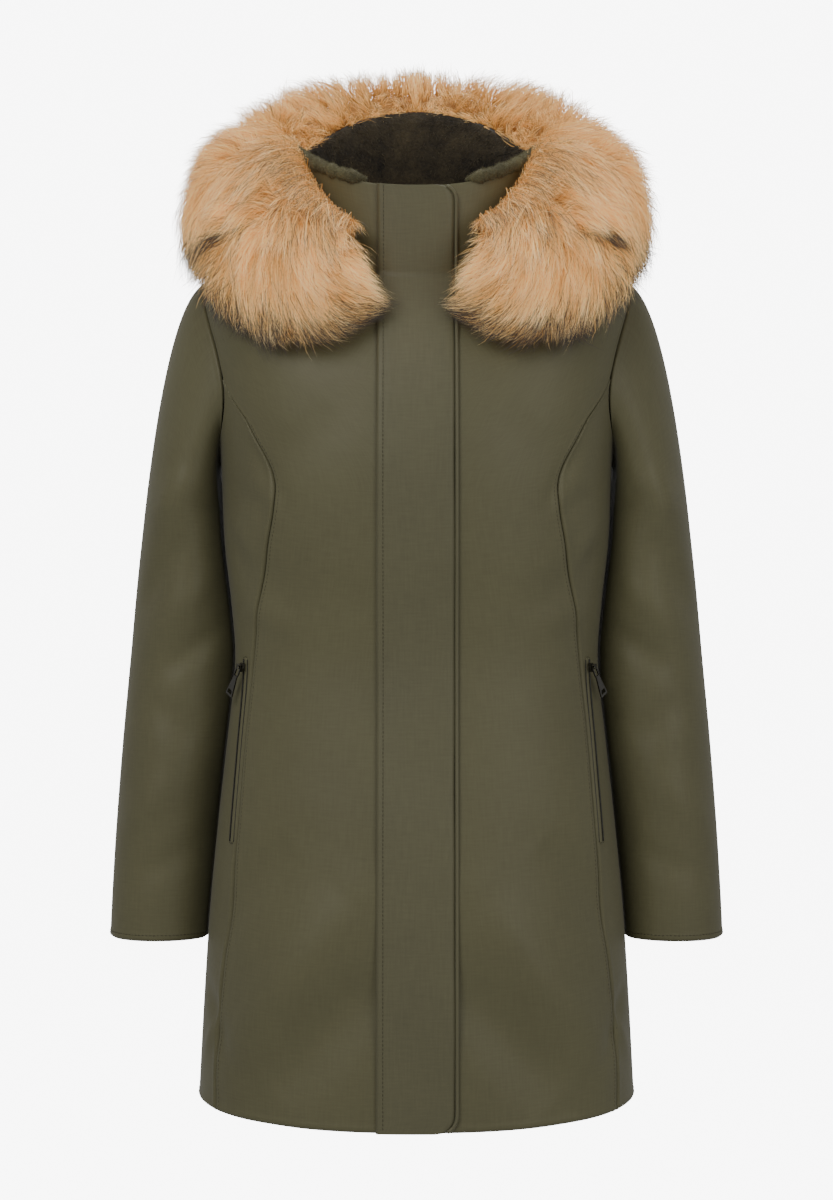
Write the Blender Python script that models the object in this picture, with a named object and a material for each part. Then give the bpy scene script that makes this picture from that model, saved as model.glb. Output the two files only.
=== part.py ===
"""A women's fur trimmed parka, filled out as worn, with its hood down behind the neck.

Metres, +Z up, the front of the coat faces -Y and the wearer's left is +X. The origin is between the
shoulders at the base of the neck, where the wearer carries the coat. Cloth pieces are walls on one
body surface and one sleeve surface, with a narrow gap at each seam.
"""

import math
from collections import namedtuple

import bmesh
import bpy
from mathutils import Matrix, Vector

# ---- driving sizes -----------------------------------------------------------------------------
CLOTH = 0.002  # shell cloth with its padding
PLUSH = 0.003  # lining of the hood
SEAM = 0.0005  # gap between two pieces at a seam
LIFT = 0.0004  # gap under a piece that lies on another

FRONT_ROUND = 2.35  # squareness of a ring's front half, 2 is an ellipse
BACK_ROUND = 2.2
RING_TILT = 1.6  # how soon a ring leaves its side height on the way to its middle

FLAP_LEFT = 0.0345  # storm flap, from the centre front to its free edge
FLAP_RIGHT = 0.0360  # and to the edge that is sewn down
FLAP_THICK = 0.0026
PIPE_WIDE = 0.0034  # piping along the free edge of the flap
PIPE_PROUD = 0.0006  # how far the piping stands above the flap
ARMHOLE_REACH = math.radians(25)  # how far the armhole runs round from the side
CUFF = 18  # points round a sleeve, half of them in front

# ---- tables ------------------------------------------------------------------------------------
Ring = namedtuple("Ring", "z_side z_front z_back half_width front back princess")
BODY = [
    Ring(-0.006, -0.052, 0.010, 0.0920, 0.1000, 0.0860, 0.90),  # neck
    Ring(-0.016, -0.085, -0.022, 0.1350, 0.1130, 0.1020, 0.92),
    Ring(-0.029, -0.118, -0.058, 0.1750, 0.1230, 0.1130, 0.94),
    Ring(-0.044, -0.150, -0.098, 0.2000, 0.1300, 0.1200, 0.95),  # shoulder tip
    Ring(-0.095, -0.185, -0.140, 0.1975, 0.1340, 0.1240, 0.94),
    Ring(-0.155, -0.218, -0.186, 0.1910, 0.1360, 0.1240, 0.80),
    Ring(-0.215, -0.255, -0.232, 0.1850, 0.1350, 0.1210, 0.705),  # underarm
    Ring(-0.290, -0.310, -0.298, 0.1815, 0.1300, 0.1120, 0.755),
    Ring(-0.350, -0.358, -0.352, 0.1748, 0.1235, 0.1020, 0.830),
    Ring(-0.405, -0.409, -0.406, 0.1715, 0.1200, 0.0970, 0.880),  # waist
    Ring(-0.478, -0.482, -0.479, 0.1790, 0.1250, 0.1080, 0.886),
    Ring(-0.555, -0.560, -0.556, 0.1875, 0.1330, 0.1210, 0.878),
    Ring(-0.640, -0.646, -0.641, 0.1955, 0.1380, 0.1300, 0.886),
    Ring(-0.725, -0.733, -0.726, 0.2010, 0.1410, 0.1340, 0.900),
    Ring(-0.8105, -0.8195, -0.811, 0.2055, 0.1430, 0.1360, 0.895),  # hem
]
NECK, TIP, UNDERARM, HEM = 0, 3, 6, len(BODY) - 1
PRINCESS_TOP = 4.4  # row where the princess seam leaves the armhole

Slice = namedtuple("Slice", "z outer inner y_middle half_deep")
SLEEVE = [
    Slice(-0.260, 0.2605, 0.1790, 0.029, 0.076),  # upper arm
    Slice(-0.330, 0.2690, 0.1700, 0.036, 0.072),
    Slice(-0.400, 0.2760, 0.1660, 0.040, 0.067),  # elbow
    Slice(-0.480, 0.2830, 0.1760, 0.036, 0.062),
    Slice(-0.560, 0.2890, 0.1880, 0.034, 0.057),
    Slice(-0.620, 0.2925, 0.1970, 0.032, 0.053),
    Slice(-0.667, 0.2945, 0.2015, 0.030, 0.050),  # cuff
]
SLEEVE_CLEAR = 0.0035  # least space between sleeve and body
CAP_PARTS = (0.0, 0.12, 0.28, 0.46, 0.64, 0.82)  # rings of the sleeve cap, from armhole to upper arm
CAP_OUT = 0.58  # how far out from the armhole the cap runs before it turns down
CAP_TURN = 0.3  # how far the cap has turned from the armhole's line to the arm's by then
CAP_DROP = 0.012
CAP_CLEAR = 0.006
SLEEVE_RINGS = 13

Rim = namedtuple("Rim", "z_side z_front z_back half_width front back")
RIM = Rim(0.076, 0.030, 0.143, 0.1170, 0.1060, 0.1200)  # the hood's opening

Pouch = namedtuple("Pouch", "place off")
POUCH = [  # the hood hanging behind the neck: a place down the back, and how far off the back
    Pouch(1.00, 0.0035),
    Pouch(1.90, 0.0035),
    Pouch(2.50, 0.0080),
    Pouch(2.75, 0.0330),
    Pouch(2.20, 0.0600),
    Pouch(1.30, 0.0640),
    Pouch(0.45, 0.0580),
]

FUR_UNDER = 0.18  # how far the fur bulges towards the cloth, as a share of its bulge away from it
Fur = namedtuple("Fur", "inner_x inner_y inner_z outer_x outer_y outer_z thick")
FUR = [  # from one front end, over the shoulder, to the middle of the back
    Fur(0.0320, -0.1170, -0.0150, 0.0350, -0.1280, -0.0930, 0.034),
    Fur(0.0660, -0.1080, -0.0040, 0.0800, -0.1340, -0.1160, 0.046),
    Fur(0.0950, -0.0830, 0.0300, 0.1400, -0.1130, -0.1080, 0.054),
    Fur(0.1200, -0.0500, 0.0650, 0.1920, -0.0760, -0.0700, 0.058),
    Fur(0.1230, 0.0000, 0.0800, 0.2120, -0.0200, -0.0120, 0.058),
    Fur(0.1140, 0.0580, 0.1030, 0.1950, 0.0820, 0.0360, 0.062),
    Fur(0.0660, 0.1120, 0.1390, 0.1240, 0.1750, 0.0820, 0.066),
    Fur(0.0000, 0.1250, 0.1560, 0.0000, 0.2140, 0.1000, 0.066),
]

Zip = namedtuple("Zip", "z_top z_bottom share_top share_bottom")
POCKET = Zip(-0.400, -0.567, 0.920, 0.898)
WELT_WIDE = 0.0055
WELT_THICK = 0.0012
CHAIN_WIDE = 0.0022
CHAIN_THICK = 0.0009
SLIDER_WIDE, SLIDER_LONG, SLIDER_HIGH = 0.0052, 0.0085, 0.0026
SLIDER_OFF = LIFT + WELT_THICK + LIFT  # the slider's underside, off the panel
SLIDER_DOWN, SLIDER_RUN = 0.012, 0.050  # its start down the pocket, and a run that gives its direction
BRIDGE_WIDE = 0.0012  # arch on the slider that holds the ring
BRIDGE_LONG = 0.0050
BRIDGE_HIGH = 0.0044
BRIDGE_BAR = 0.0009
BRIDGE_DOWN = SLIDER_LONG * 0.42  # middle of the arch from the slider's top
RING_LONG = 0.0110
RING_WIDE = 0.0062
RING_WIRE = 0.0011
TAB_LONG = 0.0200
TAB_TOP, TAB_END = 0.0045, 0.0100  # widths of the tab
TAB_THICK = 0.0014
TAB_LEAN = math.radians(30)  # out from straight down
TAB_FACE = math.radians(42)  # of its face, from the side towards the front
TAB_CORNER = 0.001
WINDOW_START, WINDOW_END = 0.0062, 0.0022  # the tab's window, up from its low end

# ---- finishes, colours linear ------------------------------------------------------------------
Finish = namedtuple("Finish", "color rough metal")
OLIVE = Finish((0.095, 0.088, 0.050, 1), 0.55, 0.0)
DARK_PLUSH = Finish((0.030, 0.022, 0.013, 1), 0.9, 0.0)
TAN_FUR = Finish((0.600, 0.380, 0.200, 1), 0.9, 0.0)
ZIP_CHAIN = Finish((0.020, 0.020, 0.018, 1), 0.5, 0.0)
GUNMETAL = Finish((0.020, 0.020, 0.022, 1), 0.35, 0.9)


def smooth(rows, place):
    """A row between two rows of a table, on one smooth curve through them all."""
    last = len(rows) - 1
    place = min(max(place, 0.0), float(last))
    start = min(int(place), last - 1)
    t = place - start
    before, here, there, after = (rows[min(max(start + k, 0), last)] for k in (-1, 0, 1, 2))
    return type(here)(
        *(
            0.5 * (2 * q + (r - p) * t + (2 * p - 5 * q + 4 * r - s) * t**2 + (3 * q - p - 3 * r + s) * t**3)
            for p, q, r, s in zip(before, here, there, after)
        )
    )


def power(value, exponent):
    return math.copysign(abs(value) ** exponent, value)


def on_ring(half_width, front, back, z_side, z_front, z_back, angle):
    """A point of a ring. Angle 0 is the wearer's left side, 90 degrees the back, -90 the front."""
    cosine, sine = math.cos(angle), math.sin(angle)
    deep, z_end, squareness = (back, z_back, BACK_ROUND) if sine > 0 else (front, z_front, FRONT_ROUND)
    x = half_width * power(cosine, 2 / squareness)
    y = deep * power(sine, 2 / squareness)
    z = z_side + (z_end - z_side) * abs(sine) ** RING_TILT
    return Vector((x, y, z))


def body(place, angle):
    ring = smooth(BODY, place)
    return on_ring(
        ring.half_width, ring.front, ring.back, ring.z_side, ring.z_front, ring.z_back, angle
    )


def off_body(place, angle, off):
    """A point off the body along its normal."""
    step = 0.02
    along = body(place, angle + step) - body(place, angle - step)
    down = body(min(place + step, HEM), angle) - body(max(place - step, NECK), angle)
    return body(place, angle) + down.cross(along).normalized() * off


def angle_at(share):
    """The angle, ahead of the side, where the front half of a ring has this share of its half width."""
    return -math.acos(min(share, 1.0) ** (FRONT_ROUND / 2))


def place_at(z, share):
    """The row where the front of the body is this high."""
    low, high = float(NECK), float(HEM)
    for _ in range(40):
        middle = (low + high) / 2
        if body(middle, angle_at(share)).z > z:
            low = middle
        else:
            high = middle
    return low


def armhole(place):
    """How far round from the side the armhole is open at this row."""
    if not TIP < place < UNDERARM:
        return 0.0
    return ARMHOLE_REACH * math.sin(math.pi * (place - TIP) / (UNDERARM - TIP)) ** 0.75


def princess(place):
    return angle_at(smooth(BODY, place).princess)


# rows shared by every body panel, so that panel edges and the sleeve's first ring meet point to point
ARM_ROWS = [
    TIP + (UNDERARM - TIP) * (1 - math.cos(math.pi * 2 * k / CUFF)) / 2 for k in range(CUFF // 2 + 1)
]
UPPER_ROWS = [0.0, 0.75, 1.5, 2.25]
LOWER_ROWS = [UNDERARM + 0.7 * k for k in range(1, 11)] + [13.3, float(HEM)]
ROWS = UPPER_ROWS + ARM_ROWS + LOWER_ROWS


def add_object(name, mesh_source, finish):
    mesh = bpy.data.meshes.new(name)
    mesh_source.to_mesh(mesh)
    mesh_source.free()
    mesh.shade_smooth()
    mesh.set_sharp_from_angle(angle=math.radians(40))
    made = bpy.data.objects.new(name, mesh)
    bpy.context.scene.collection.objects.link(made)
    material = bpy.data.materials.new(name)
    material.use_nodes = True
    shader = material.node_tree.nodes["Principled BSDF"]
    shader.inputs["Base Color"].default_value = finish.color
    shader.inputs["Roughness"].default_value = finish.rough
    shader.inputs["Metallic"].default_value = finish.metal
    mesh.materials.append(material)
    return made


def rings_sheet(rings):
    """A one-sided sheet of quads through closed rings of points."""
    made = bmesh.new()
    lines = [[made.verts.new(point) for point in ring] for ring in rings]
    count = len(rings[0])
    for upper, lower in zip(lines, lines[1:]):
        for k in range(count):
            after = (k + 1) % count
            made.faces.new((upper[k], lower[k], lower[after], upper[after]))
    return made


def slab(name, lower_rows, upper_rows, finish):
    """A closed block between two sheets with the same rows of points."""
    made = bmesh.new()
    under = [[made.verts.new(point) for point in row] for row in lower_rows]
    over = [[made.verts.new(point) for point in row] for row in upper_rows]
    for lines in (under, over):
        for first, second in zip(lines, lines[1:]):
            for a, b, c, d in zip(first, second, second[1:], first[1:]):
                made.faces.new((a, b, c))
                made.faces.new((a, c, d))
    edge_under = under[0] + [row[-1] for row in under[1:]] + under[-1][-2::-1]
    edge_under += [row[0] for row in under[-2:0:-1]]
    edge_over = over[0] + [row[-1] for row in over[1:]] + over[-1][-2::-1]
    edge_over += [row[0] for row in over[-2:0:-1]]
    for k, corner in enumerate(edge_under):
        after = (k + 1) % len(edge_under)
        made.faces.new((corner, edge_under[after], edge_over[after], edge_over[k]))
    bmesh.ops.recalc_face_normals(made, faces=made.faces)
    return add_object(name, made, finish)


def tube(name, inner_rows, outer_rows, finish):
    """A closed wall between two tubes with the same rings of points, open at both ends."""
    made = bmesh.new()
    inner = [[made.verts.new(point) for point in row] for row in inner_rows]
    outer = [[made.verts.new(point) for point in row] for row in outer_rows]
    count = len(outer[0])
    walls = list(zip(outer, outer[1:])) + list(zip(inner, inner[1:]))
    ends = [(outer[0], inner[0]), (outer[-1], inner[-1])]
    for first, second in walls + ends:
        for k in range(count):
            after = (k + 1) % count
            made.faces.new((first[k], second[k], second[after]))
            made.faces.new((first[k], second[after], first[after]))
    bmesh.ops.recalc_face_normals(made, faces=made.faces)
    return add_object(name, made, finish)


def spread(first, last, count):
    return [first + (last - first) * k / (count - 1) for k in range(count)]


def seam_angle(place, angle, gap):
    """An angle moved so that the surface point shifts by a gap along its ring."""
    step = 0.002
    speed = (body(place, angle + step) - body(place, angle - step)).length / (2 * step)
    return angle + gap / speed


def mirrored(rows):
    """Rows of points on the wearer's right, in an order that keeps their faces outwards."""
    return [[Vector((-p.x, p.y, p.z)) for p in reversed(row)] for row in rows]


# ---- body panels -------------------------------------------------------------------------------
def body_panel(names, marks):
    """A wall on the body through rows of marks, each a place and an angle, made for each named side."""
    outer = [[body(place, angle) for place, angle in row] for row in marks]
    inner = [[off_body(place, angle, -CLOTH) for place, angle in row] for row in marks]
    slab(names[0], inner, outer, OLIVE)
    if len(names) > 1:
        slab(names[1], mirrored(inner), mirrored(outer), OLIVE)


def center_front_marks():
    marks = []
    for place in ROWS:
        edge = -armhole(place)
        if place > PRINCESS_TOP:
            edge = princess(place)
        gap = 0.0 if TIP < place <= PRINCESS_TOP else SEAM / 2
        first = seam_angle(place, -math.pi / 2, SEAM / 2)
        last = seam_angle(place, edge, -gap)
        marks.append([(place, angle) for angle in spread(first, last, 8)])
    return marks


def side_front_marks():
    marks = []
    for place in ROWS:
        if place <= PRINCESS_TOP:
            continue
        opening = armhole(place)
        last = -opening if opening else seam_angle(place, 0.0, -SEAM / 2)
        first = seam_angle(place, princess(place), SEAM / 2)
        marks.append([(place, angle) for angle in spread(first, last, 5)])
    return marks


def back_marks():
    marks = []
    for place in ROWS:
        opening = armhole(place)
        edge = opening if opening else seam_angle(place, 0.0, SEAM / 2)
        marks.append([(place, angle) for angle in spread(edge, math.pi - edge, 17)])
    return marks


def make_body():
    body_panel(("front_left", "front_right"), center_front_marks())
    body_panel(("side_front_left", "side_front_right"), side_front_marks())
    body_panel(("back",), back_marks())


# ---- sleeves -----------------------------------------------------------------------------------
def armhole_point(turn):
    """A point of the armhole. Turn 0 is the shoulder tip, and it goes down the front."""
    place = TIP + (UNDERARM - TIP) * (1 - math.cos(turn)) / 2
    if math.sin(turn) > 1e-6:
        return body(place, -armhole(place))
    if math.sin(turn) < -1e-6:
        return body(place, armhole(place))
    return body(place, 0.0)


def sleeve_point(slice_, turn):
    middle = (slice_.outer + slice_.inner) / 2
    half = (slice_.outer - slice_.inner) / 2
    x = middle + half * math.cos(turn)
    y = slice_.y_middle - slice_.half_deep * math.sin(turn)
    return clear_of_body(Vector((x, y, slice_.z)))


def clear_of_body(point):
    """The point, moved sideways if it would touch the side of the body."""
    low, high = float(UNDERARM) - 0.3, float(HEM)
    for _ in range(24):
        middle = (low + high) / 2
        if smooth(BODY, middle).z_side > point.z:
            low = middle
        else:
            high = middle
    ring = smooth(BODY, low)
    deep, squareness = (ring.back, BACK_ROUND) if point.y > 0 else (ring.front, FRONT_ROUND)
    rest = 1 - min(abs(point.y) / deep, 1.0) ** squareness
    side = ring.half_width * rest ** (1 / squareness) + SLEEVE_CLEAR
    return Vector((max(point.x, side), point.y, point.z))


def sleeve_rows():
    turns = [2 * math.pi * k / CUFF for k in range(CUFF)]
    rows = []
    for part in CAP_PARTS:
        row = []
        for turn in turns:
            start = armhole_point(turn) + Vector((SEAM, 0, 0))
            end = sleeve_point(SLEEVE[0], turn)
            bend = start.lerp(end, CAP_OUT)
            bend.y = start.y + (end.y - start.y) * CAP_TURN
            bend.z = start.z - CAP_DROP
            if turn and part:
                bend.x = max(bend.x, start.x + CAP_CLEAR)
            row.append(start * (1 - part) ** 2 + bend * 2 * part * (1 - part) + end * part**2)
        rows.append(row)
    for k in range(SLEEVE_RINGS):
        slice_ = smooth(SLEEVE, (len(SLEEVE) - 1) * k / (SLEEVE_RINGS - 1))
        rows.append([sleeve_point(slice_, turn) for turn in turns])
    return [list(reversed(row)) for row in rows]


def make_sleeves():
    rows = sleeve_rows()
    for name, rings in (("sleeve_left", rows), ("sleeve_right", mirrored(rows))):
        made = add_object(name, rings_sheet(rings), OLIVE)
        wall = made.modifiers.new("wall", "SOLIDIFY")
        wall.thickness = CLOTH
        wall.offset = -1.0
        wall.use_quality_normals = True


# ---- hood and collar ---------------------------------------------------------------------------
HOOD_STEPS = len(POUCH) + 1
HOOD_SIDES = 10  # facets in a quarter of the hood and collar


def rim(angle):
    return on_ring(RIM.half_width, RIM.front, RIM.back, RIM.z_side, RIM.z_front, RIM.z_back, angle)


def hood(step, angle):
    """A point of the hood. Step 0 is the neck seam and the last is the rim; a pouch hangs behind."""
    start = body(NECK, angle) + Vector((0, 0, SEAM))
    end = rim(angle)
    straight = start.lerp(end, step / HOOD_STEPS)
    if step in (0, HOOD_STEPS):
        return straight
    pouch = POUCH[step - 1]
    behind = max(math.sin(angle), 0.0) ** 1.5
    if not behind:
        return straight
    return straight.lerp(off_body(pouch.place, angle, pouch.off), behind)


def off_hood(step, angle, off):
    """A point off the hood along its normal, outwards from its hollow."""
    turn = 0.03
    around = hood(step, angle + turn) - hood(step, angle - turn)
    up = hood(min(step + 1, HOOD_STEPS), angle) - hood(max(step - 1, 0), angle)
    return hood(step, angle) + around.cross(up).normalized() * off


def hood_wall(name, angles, outer, inner, finish, closed=False, mirror=False):
    steps = range(HOOD_STEPS, -1, -1)
    over = [[off_hood(step, angle, outer) for angle in angles] for step in steps]
    under = [[off_hood(step, angle, inner) for angle in angles] for step in steps]
    if mirror:
        over, under = mirrored(over), mirrored(under)
    if closed:
        tube(name, under, over, finish)
    else:
        slab(name, under, over, finish)


def make_hood():
    quarter = [-math.pi / 2 + math.pi / 2 * k / HOOD_SIDES for k in range(HOOD_SIDES + 1)]
    front = [quarter[0] + SEAM * 4] + quarter[1:-1] + [seam_angle(NECK, 0.0, -SEAM / 2)]
    hood_wall("collar_left", front, 0.0, -CLOTH, OLIVE)
    hood_wall("collar_right", front, 0.0, -CLOTH, OLIVE, mirror=True)
    behind = [math.pi * k / (2 * HOOD_SIDES) for k in range(2 * HOOD_SIDES + 1)]
    behind[0] = seam_angle(NECK, 0.0, SEAM / 2)
    behind[-1] = math.pi - behind[0]
    hood_wall("hood_shell", behind, 0.0, -CLOTH, OLIVE)
    around = [-math.pi / 2 + math.pi / 2 * k / HOOD_SIDES for k in range(4 * HOOD_SIDES)]
    inside = -CLOTH - LIFT
    hood_wall("hood_lining", around, inside, inside - PLUSH, DARK_PLUSH, closed=True)


# ---- fur ---------------------------------------------------------------------------------------
FUR_SIDES = 12  # facets round the fur
FUR_RINGS = 12  # rings from one front end to the middle of the back


def fur_ring(row, before, after):
    """A section of the fur: full on the side away from the cloth and nearly flat beneath."""
    inner = Vector((row.inner_x, row.inner_y, row.inner_z))
    outer = Vector((row.outer_x, row.outer_y, row.outer_z))
    run = Vector(after[:3]) + Vector(after[3:6]) - Vector(before[:3]) - Vector(before[3:6])
    across = (outer - inner) / 2
    off = across.cross(run).normalized() * row.thick
    ring = []
    for k in range(FUR_SIDES):
        turn = 2 * math.pi * k / FUR_SIDES
        bulge = math.sin(turn) if math.sin(turn) > 0 else math.sin(turn) * FUR_UNDER
        ring.append((inner + outer) / 2 + across * math.cos(turn) + off * bulge)
    return ring


def make_fur():
    left = [smooth(FUR, (len(FUR) - 1) * k / (FUR_RINGS - 1)) for k in range(FUR_RINGS)]
    right = [row._replace(inner_x=-row.inner_x, outer_x=-row.outer_x) for row in left[-2::-1]]
    rows = left + right
    made = rings_sheet([fur_ring(*three) for three in zip(rows, rows[:1] + rows, rows[1:] + rows[-1:])])
    made.verts.ensure_lookup_table()
    made.faces.new(made.verts[:FUR_SIDES])
    made.faces.new(made.verts[-FUR_SIDES:])
    bmesh.ops.recalc_face_normals(made, faces=made.faces)
    add_object("fur_trim", made, TAN_FUR)


# ---- storm flap --------------------------------------------------------------------------------
def front_at(place, x, off):
    """A point of the front or collar at a distance from the centre front. Rows under 0 are the collar."""
    if place >= NECK:
        share = min(abs(x) / smooth(BODY, place).half_width, 0.99)
        point = off_body(place, -math.acos(share ** (FRONT_ROUND / 2)), off)
        return Vector((math.copysign(point.x, x) if x else 0.0, point.y, point.z))
    share = -place
    angle = angle_at(abs(x) / (RIM.half_width * share + BODY[NECK].half_width * (1 - share)))
    point = body(NECK, angle).lerp(rim(angle), share)
    return Vector((math.copysign(point.x, x) if x else 0.0, point.y - off, point.z))


FLAP_PLACES = [-step / HOOD_STEPS for step in range(HOOD_STEPS, 0, -2)] + ROWS


def flap_rows(lefts, off):
    return [[front_at(place, x, off) for x in lefts] for place in FLAP_PLACES]


def make_flap():
    across = spread(-FLAP_RIGHT, FLAP_LEFT, 5)
    under = LIFT * 2
    over = under + FLAP_THICK
    slab("storm_flap", flap_rows(across, under), flap_rows(across, over), OLIVE)
    pipe = (FLAP_LEFT + SEAM, FLAP_LEFT + SEAM + PIPE_WIDE)
    slab("flap_piping", flap_rows(pipe, under), flap_rows(pipe, over + PIPE_PROUD), OLIVE)


# ---- pocket zips -------------------------------------------------------------------------------
def on_rows(place, angle, off):
    """A point off the facets between two rows of the body."""
    above = max(row for row in ROWS[:-1] if row <= place)
    below = min(row for row in ROWS if row > above)
    part = (place - above) / (below - above)
    return off_body(above, angle, off).lerp(off_body(below, angle, off), part)


def pocket_place(down):
    return place_at(
        POCKET.z_top + (POCKET.z_bottom - POCKET.z_top) * down,
        POCKET.share_top + (POCKET.share_bottom - POCKET.share_top) * down,
    )


def pocket_point(down, across, off):
    """A point on the pocket line: down from 0 at its top to 1, across towards the side."""
    share = POCKET.share_top + (POCKET.share_bottom - POCKET.share_top) * down
    place = pocket_place(down)
    return on_rows(place, seam_angle(place, angle_at(share), across), off)


def pocket_downs(first, last):
    """Places down the pocket between two ends, one at each row of the body that it crosses."""
    top, bottom = pocket_place(first), pocket_place(last)
    inside = [(row - top) / (bottom - top) for row in ROWS if top + 0.1 < row < bottom - 0.1]
    return [first] + [first + (last - first) * part for part in inside] + [last]


def strip(name, inner, outer, high, finish, short=0.0):
    """A thin strip along the pocket, shorter at each end if need be, made on both sides of the coat."""
    low = LIFT
    places = pocket_downs(short, 1.0 - short)
    under = [[pocket_point(down, across, low) for across in (inner, outer)] for down in places]
    over = [[pocket_point(down, across, high) for across in (inner, outer)] for down in places]
    slab(name + "_left", under, over, finish)
    slab(name + "_right", mirrored(under), mirrored(over), finish)


def tab_frame():
    """The pivot of a pull tab and its three directions: down the tab, across it and off the cloth."""
    off = Vector((math.cos(TAB_FACE), -math.sin(TAB_FACE), 0))
    level = Vector((-off.y, off.x, 0))
    down = level * math.sin(TAB_LEAN) + Vector((0, 0, -math.cos(TAB_LEAN)))
    pivot = slider_point(BRIDGE_DOWN, SLIDER_HIGH + (BRIDGE_HIGH - BRIDGE_BAR) / 2)
    return pivot, down, off.cross(down), off


def slider_frame():
    """The top of the zip and its three directions: down the zip, across it and off the cloth."""
    top = pocket_point(SLIDER_DOWN, 0.0, SLIDER_OFF)
    low = pocket_point(SLIDER_DOWN + SLIDER_RUN, 0.0, SLIDER_OFF)
    down = (low - top).normalized()
    halfway = SLIDER_DOWN + SLIDER_RUN / 2
    away = pocket_point(halfway, 0.0, SLIDER_LONG) - pocket_point(halfway, 0.0, 0.0)
    away = (away - down * away.dot(down)).normalized()
    return top, down, away.cross(down), away


def slider_point(along, up):
    top, down, _, away = slider_frame()
    return top + down * along + away * up


def prism(name, frame, outline, low, high, flip, axis="up"):
    """A flat outline with a thickness: corners along and across, or along and up for a fin."""
    origin, down, across, away = frame
    made = bmesh.new()
    ends = []
    for level in (low, high):
        corners = []
        for along, other in outline:
            side, up = (other, level) if axis == "up" else (level, other)
            point = origin + down * along + across * side + away * up
            corners.append(made.verts.new((-point.x if flip else point.x, point.y, point.z)))
        ends.append(corners)
        made.faces.new(corners)
    for k, corner in enumerate(ends[0]):
        after = (k + 1) % len(outline)
        made.faces.new((corner, ends[0][after], ends[1][after], ends[1][k]))
    bmesh.ops.recalc_face_normals(made, faces=made.faces)
    return add_object(name, made, GUNMETAL)


def rectangle(first, last, half_start, half_end):
    return [(first, -half_start), (first, half_start), (last, half_end), (last, -half_end)]


def joined(target, helper, operation):
    """Adds or cuts a helper shape, which stays out of the model."""
    helper.hide_render = True
    helper.display_type = "WIRE"
    change = target.modifiers.new(helper.name, "BOOLEAN")
    change.operation = operation
    change.object = helper


def make_slider(name, flip):
    """The slider at the top of the closed zip: a tapered block, and an arch that holds the ring."""
    frame = slider_frame()
    half = SLIDER_WIDE / 2
    outline = [
        (0.0, -half),
        (0.0, half),
        (SLIDER_LONG * 0.6, half),
        (SLIDER_LONG, half * 0.6),
        (SLIDER_LONG, -half * 0.6),
        (SLIDER_LONG * 0.6, -half),
    ]
    block = prism(name, frame, outline, 0.0, SLIDER_HIGH, flip)
    first, last = BRIDGE_DOWN - BRIDGE_LONG / 2, BRIDGE_DOWN + BRIDGE_LONG / 2
    root, top = SLIDER_HIGH / 5, SLIDER_HIGH + BRIDGE_HIGH
    fin = [(first, root), (first, top), (last, top), (last, root)]
    arch = prism(name + "_arch", frame, fin, -BRIDGE_WIDE / 2, BRIDGE_WIDE / 2, flip, "side")
    joined(block, arch, "UNION")
    eye = [
        (first + BRIDGE_BAR, SLIDER_HIGH),
        (first + BRIDGE_BAR, top - BRIDGE_BAR),
        (last - BRIDGE_BAR, top - BRIDGE_BAR),
        (last - BRIDGE_BAR, SLIDER_HIGH),
    ]
    hole = prism(name + "_eye", frame, eye, -BRIDGE_WIDE, BRIDGE_WIDE, flip, "side")
    joined(block, hole, "DIFFERENCE")


def make_pull(name, flip):
    """The ring and its tab, one casting, that swings in the slider's arch."""
    frame = tab_frame()
    half = TAB_THICK / 2
    wire = RING_WIRE / 2
    end = RING_LONG + TAB_LONG
    outline = [
        (-wire, -RING_WIDE * 0.3),
        (-wire, RING_WIDE * 0.3),
        (RING_WIRE, RING_WIDE / 2),
        (RING_LONG * 0.75, RING_WIDE / 2),
        (RING_LONG, TAB_TOP / 2),
        (end - TAB_CORNER, TAB_END / 2),
        (end, TAB_END / 2 - TAB_CORNER),
        (end, -TAB_END / 2 + TAB_CORNER),
        (end - TAB_CORNER, -TAB_END / 2),
        (RING_LONG, -TAB_TOP / 2),
        (RING_LONG * 0.75, -RING_WIDE / 2),
        (RING_WIRE, -RING_WIDE / 2),
    ]
    plate = prism(name, frame, outline, -half, half, flip)
    bore = RING_WIDE / 2 - RING_WIRE
    ring_hole = rectangle(wire, RING_LONG - RING_WIRE, bore, bore)
    window = rectangle(end - WINDOW_START, end - WINDOW_END, TAB_END * 0.28, TAB_END * 0.32)
    for end_name, corners in (("_ring_hole", ring_hole), ("_window", window)):
        cutter = prism(name + end_name, frame, corners, -TAB_THICK, TAB_THICK, flip)
        joined(plate, cutter, "DIFFERENCE")
    pivot = frame[0].copy()
    if flip:
        pivot.x = -pivot.x
    plate.data.transform(Matrix.Translation(-pivot))
    plate.location = pivot


def make_pockets():
    half = WELT_WIDE / 2
    edge = half + SEAM
    strip("pocket_welt", -half, half, LIFT + WELT_THICK, OLIVE)
    strip("pocket_zip", edge, edge + CHAIN_WIDE, LIFT + CHAIN_THICK, ZIP_CHAIN, short=0.01)
    for side, flip in (("left", False), ("right", True)):
        make_slider("zip_slider_" + side, flip)
        make_pull("zip_pull_" + side, flip)


def main():
    for old in list(bpy.data.objects):
        bpy.data.objects.remove(old)
    make_body()
    make_sleeves()
    make_hood()
    make_fur()
    make_flap()
    make_pockets()


main()
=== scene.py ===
"""A women's fur trimmed parka, filled out as worn, with its hood down behind the neck.

Metres, +Z up, the front faces -Y and the wearer's left is +X. Cloth pieces are fine sheets on the same
body, sleeve and hood surfaces as the solid model, with their seams, stitches, creases and pile added.
"""

import math

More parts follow.
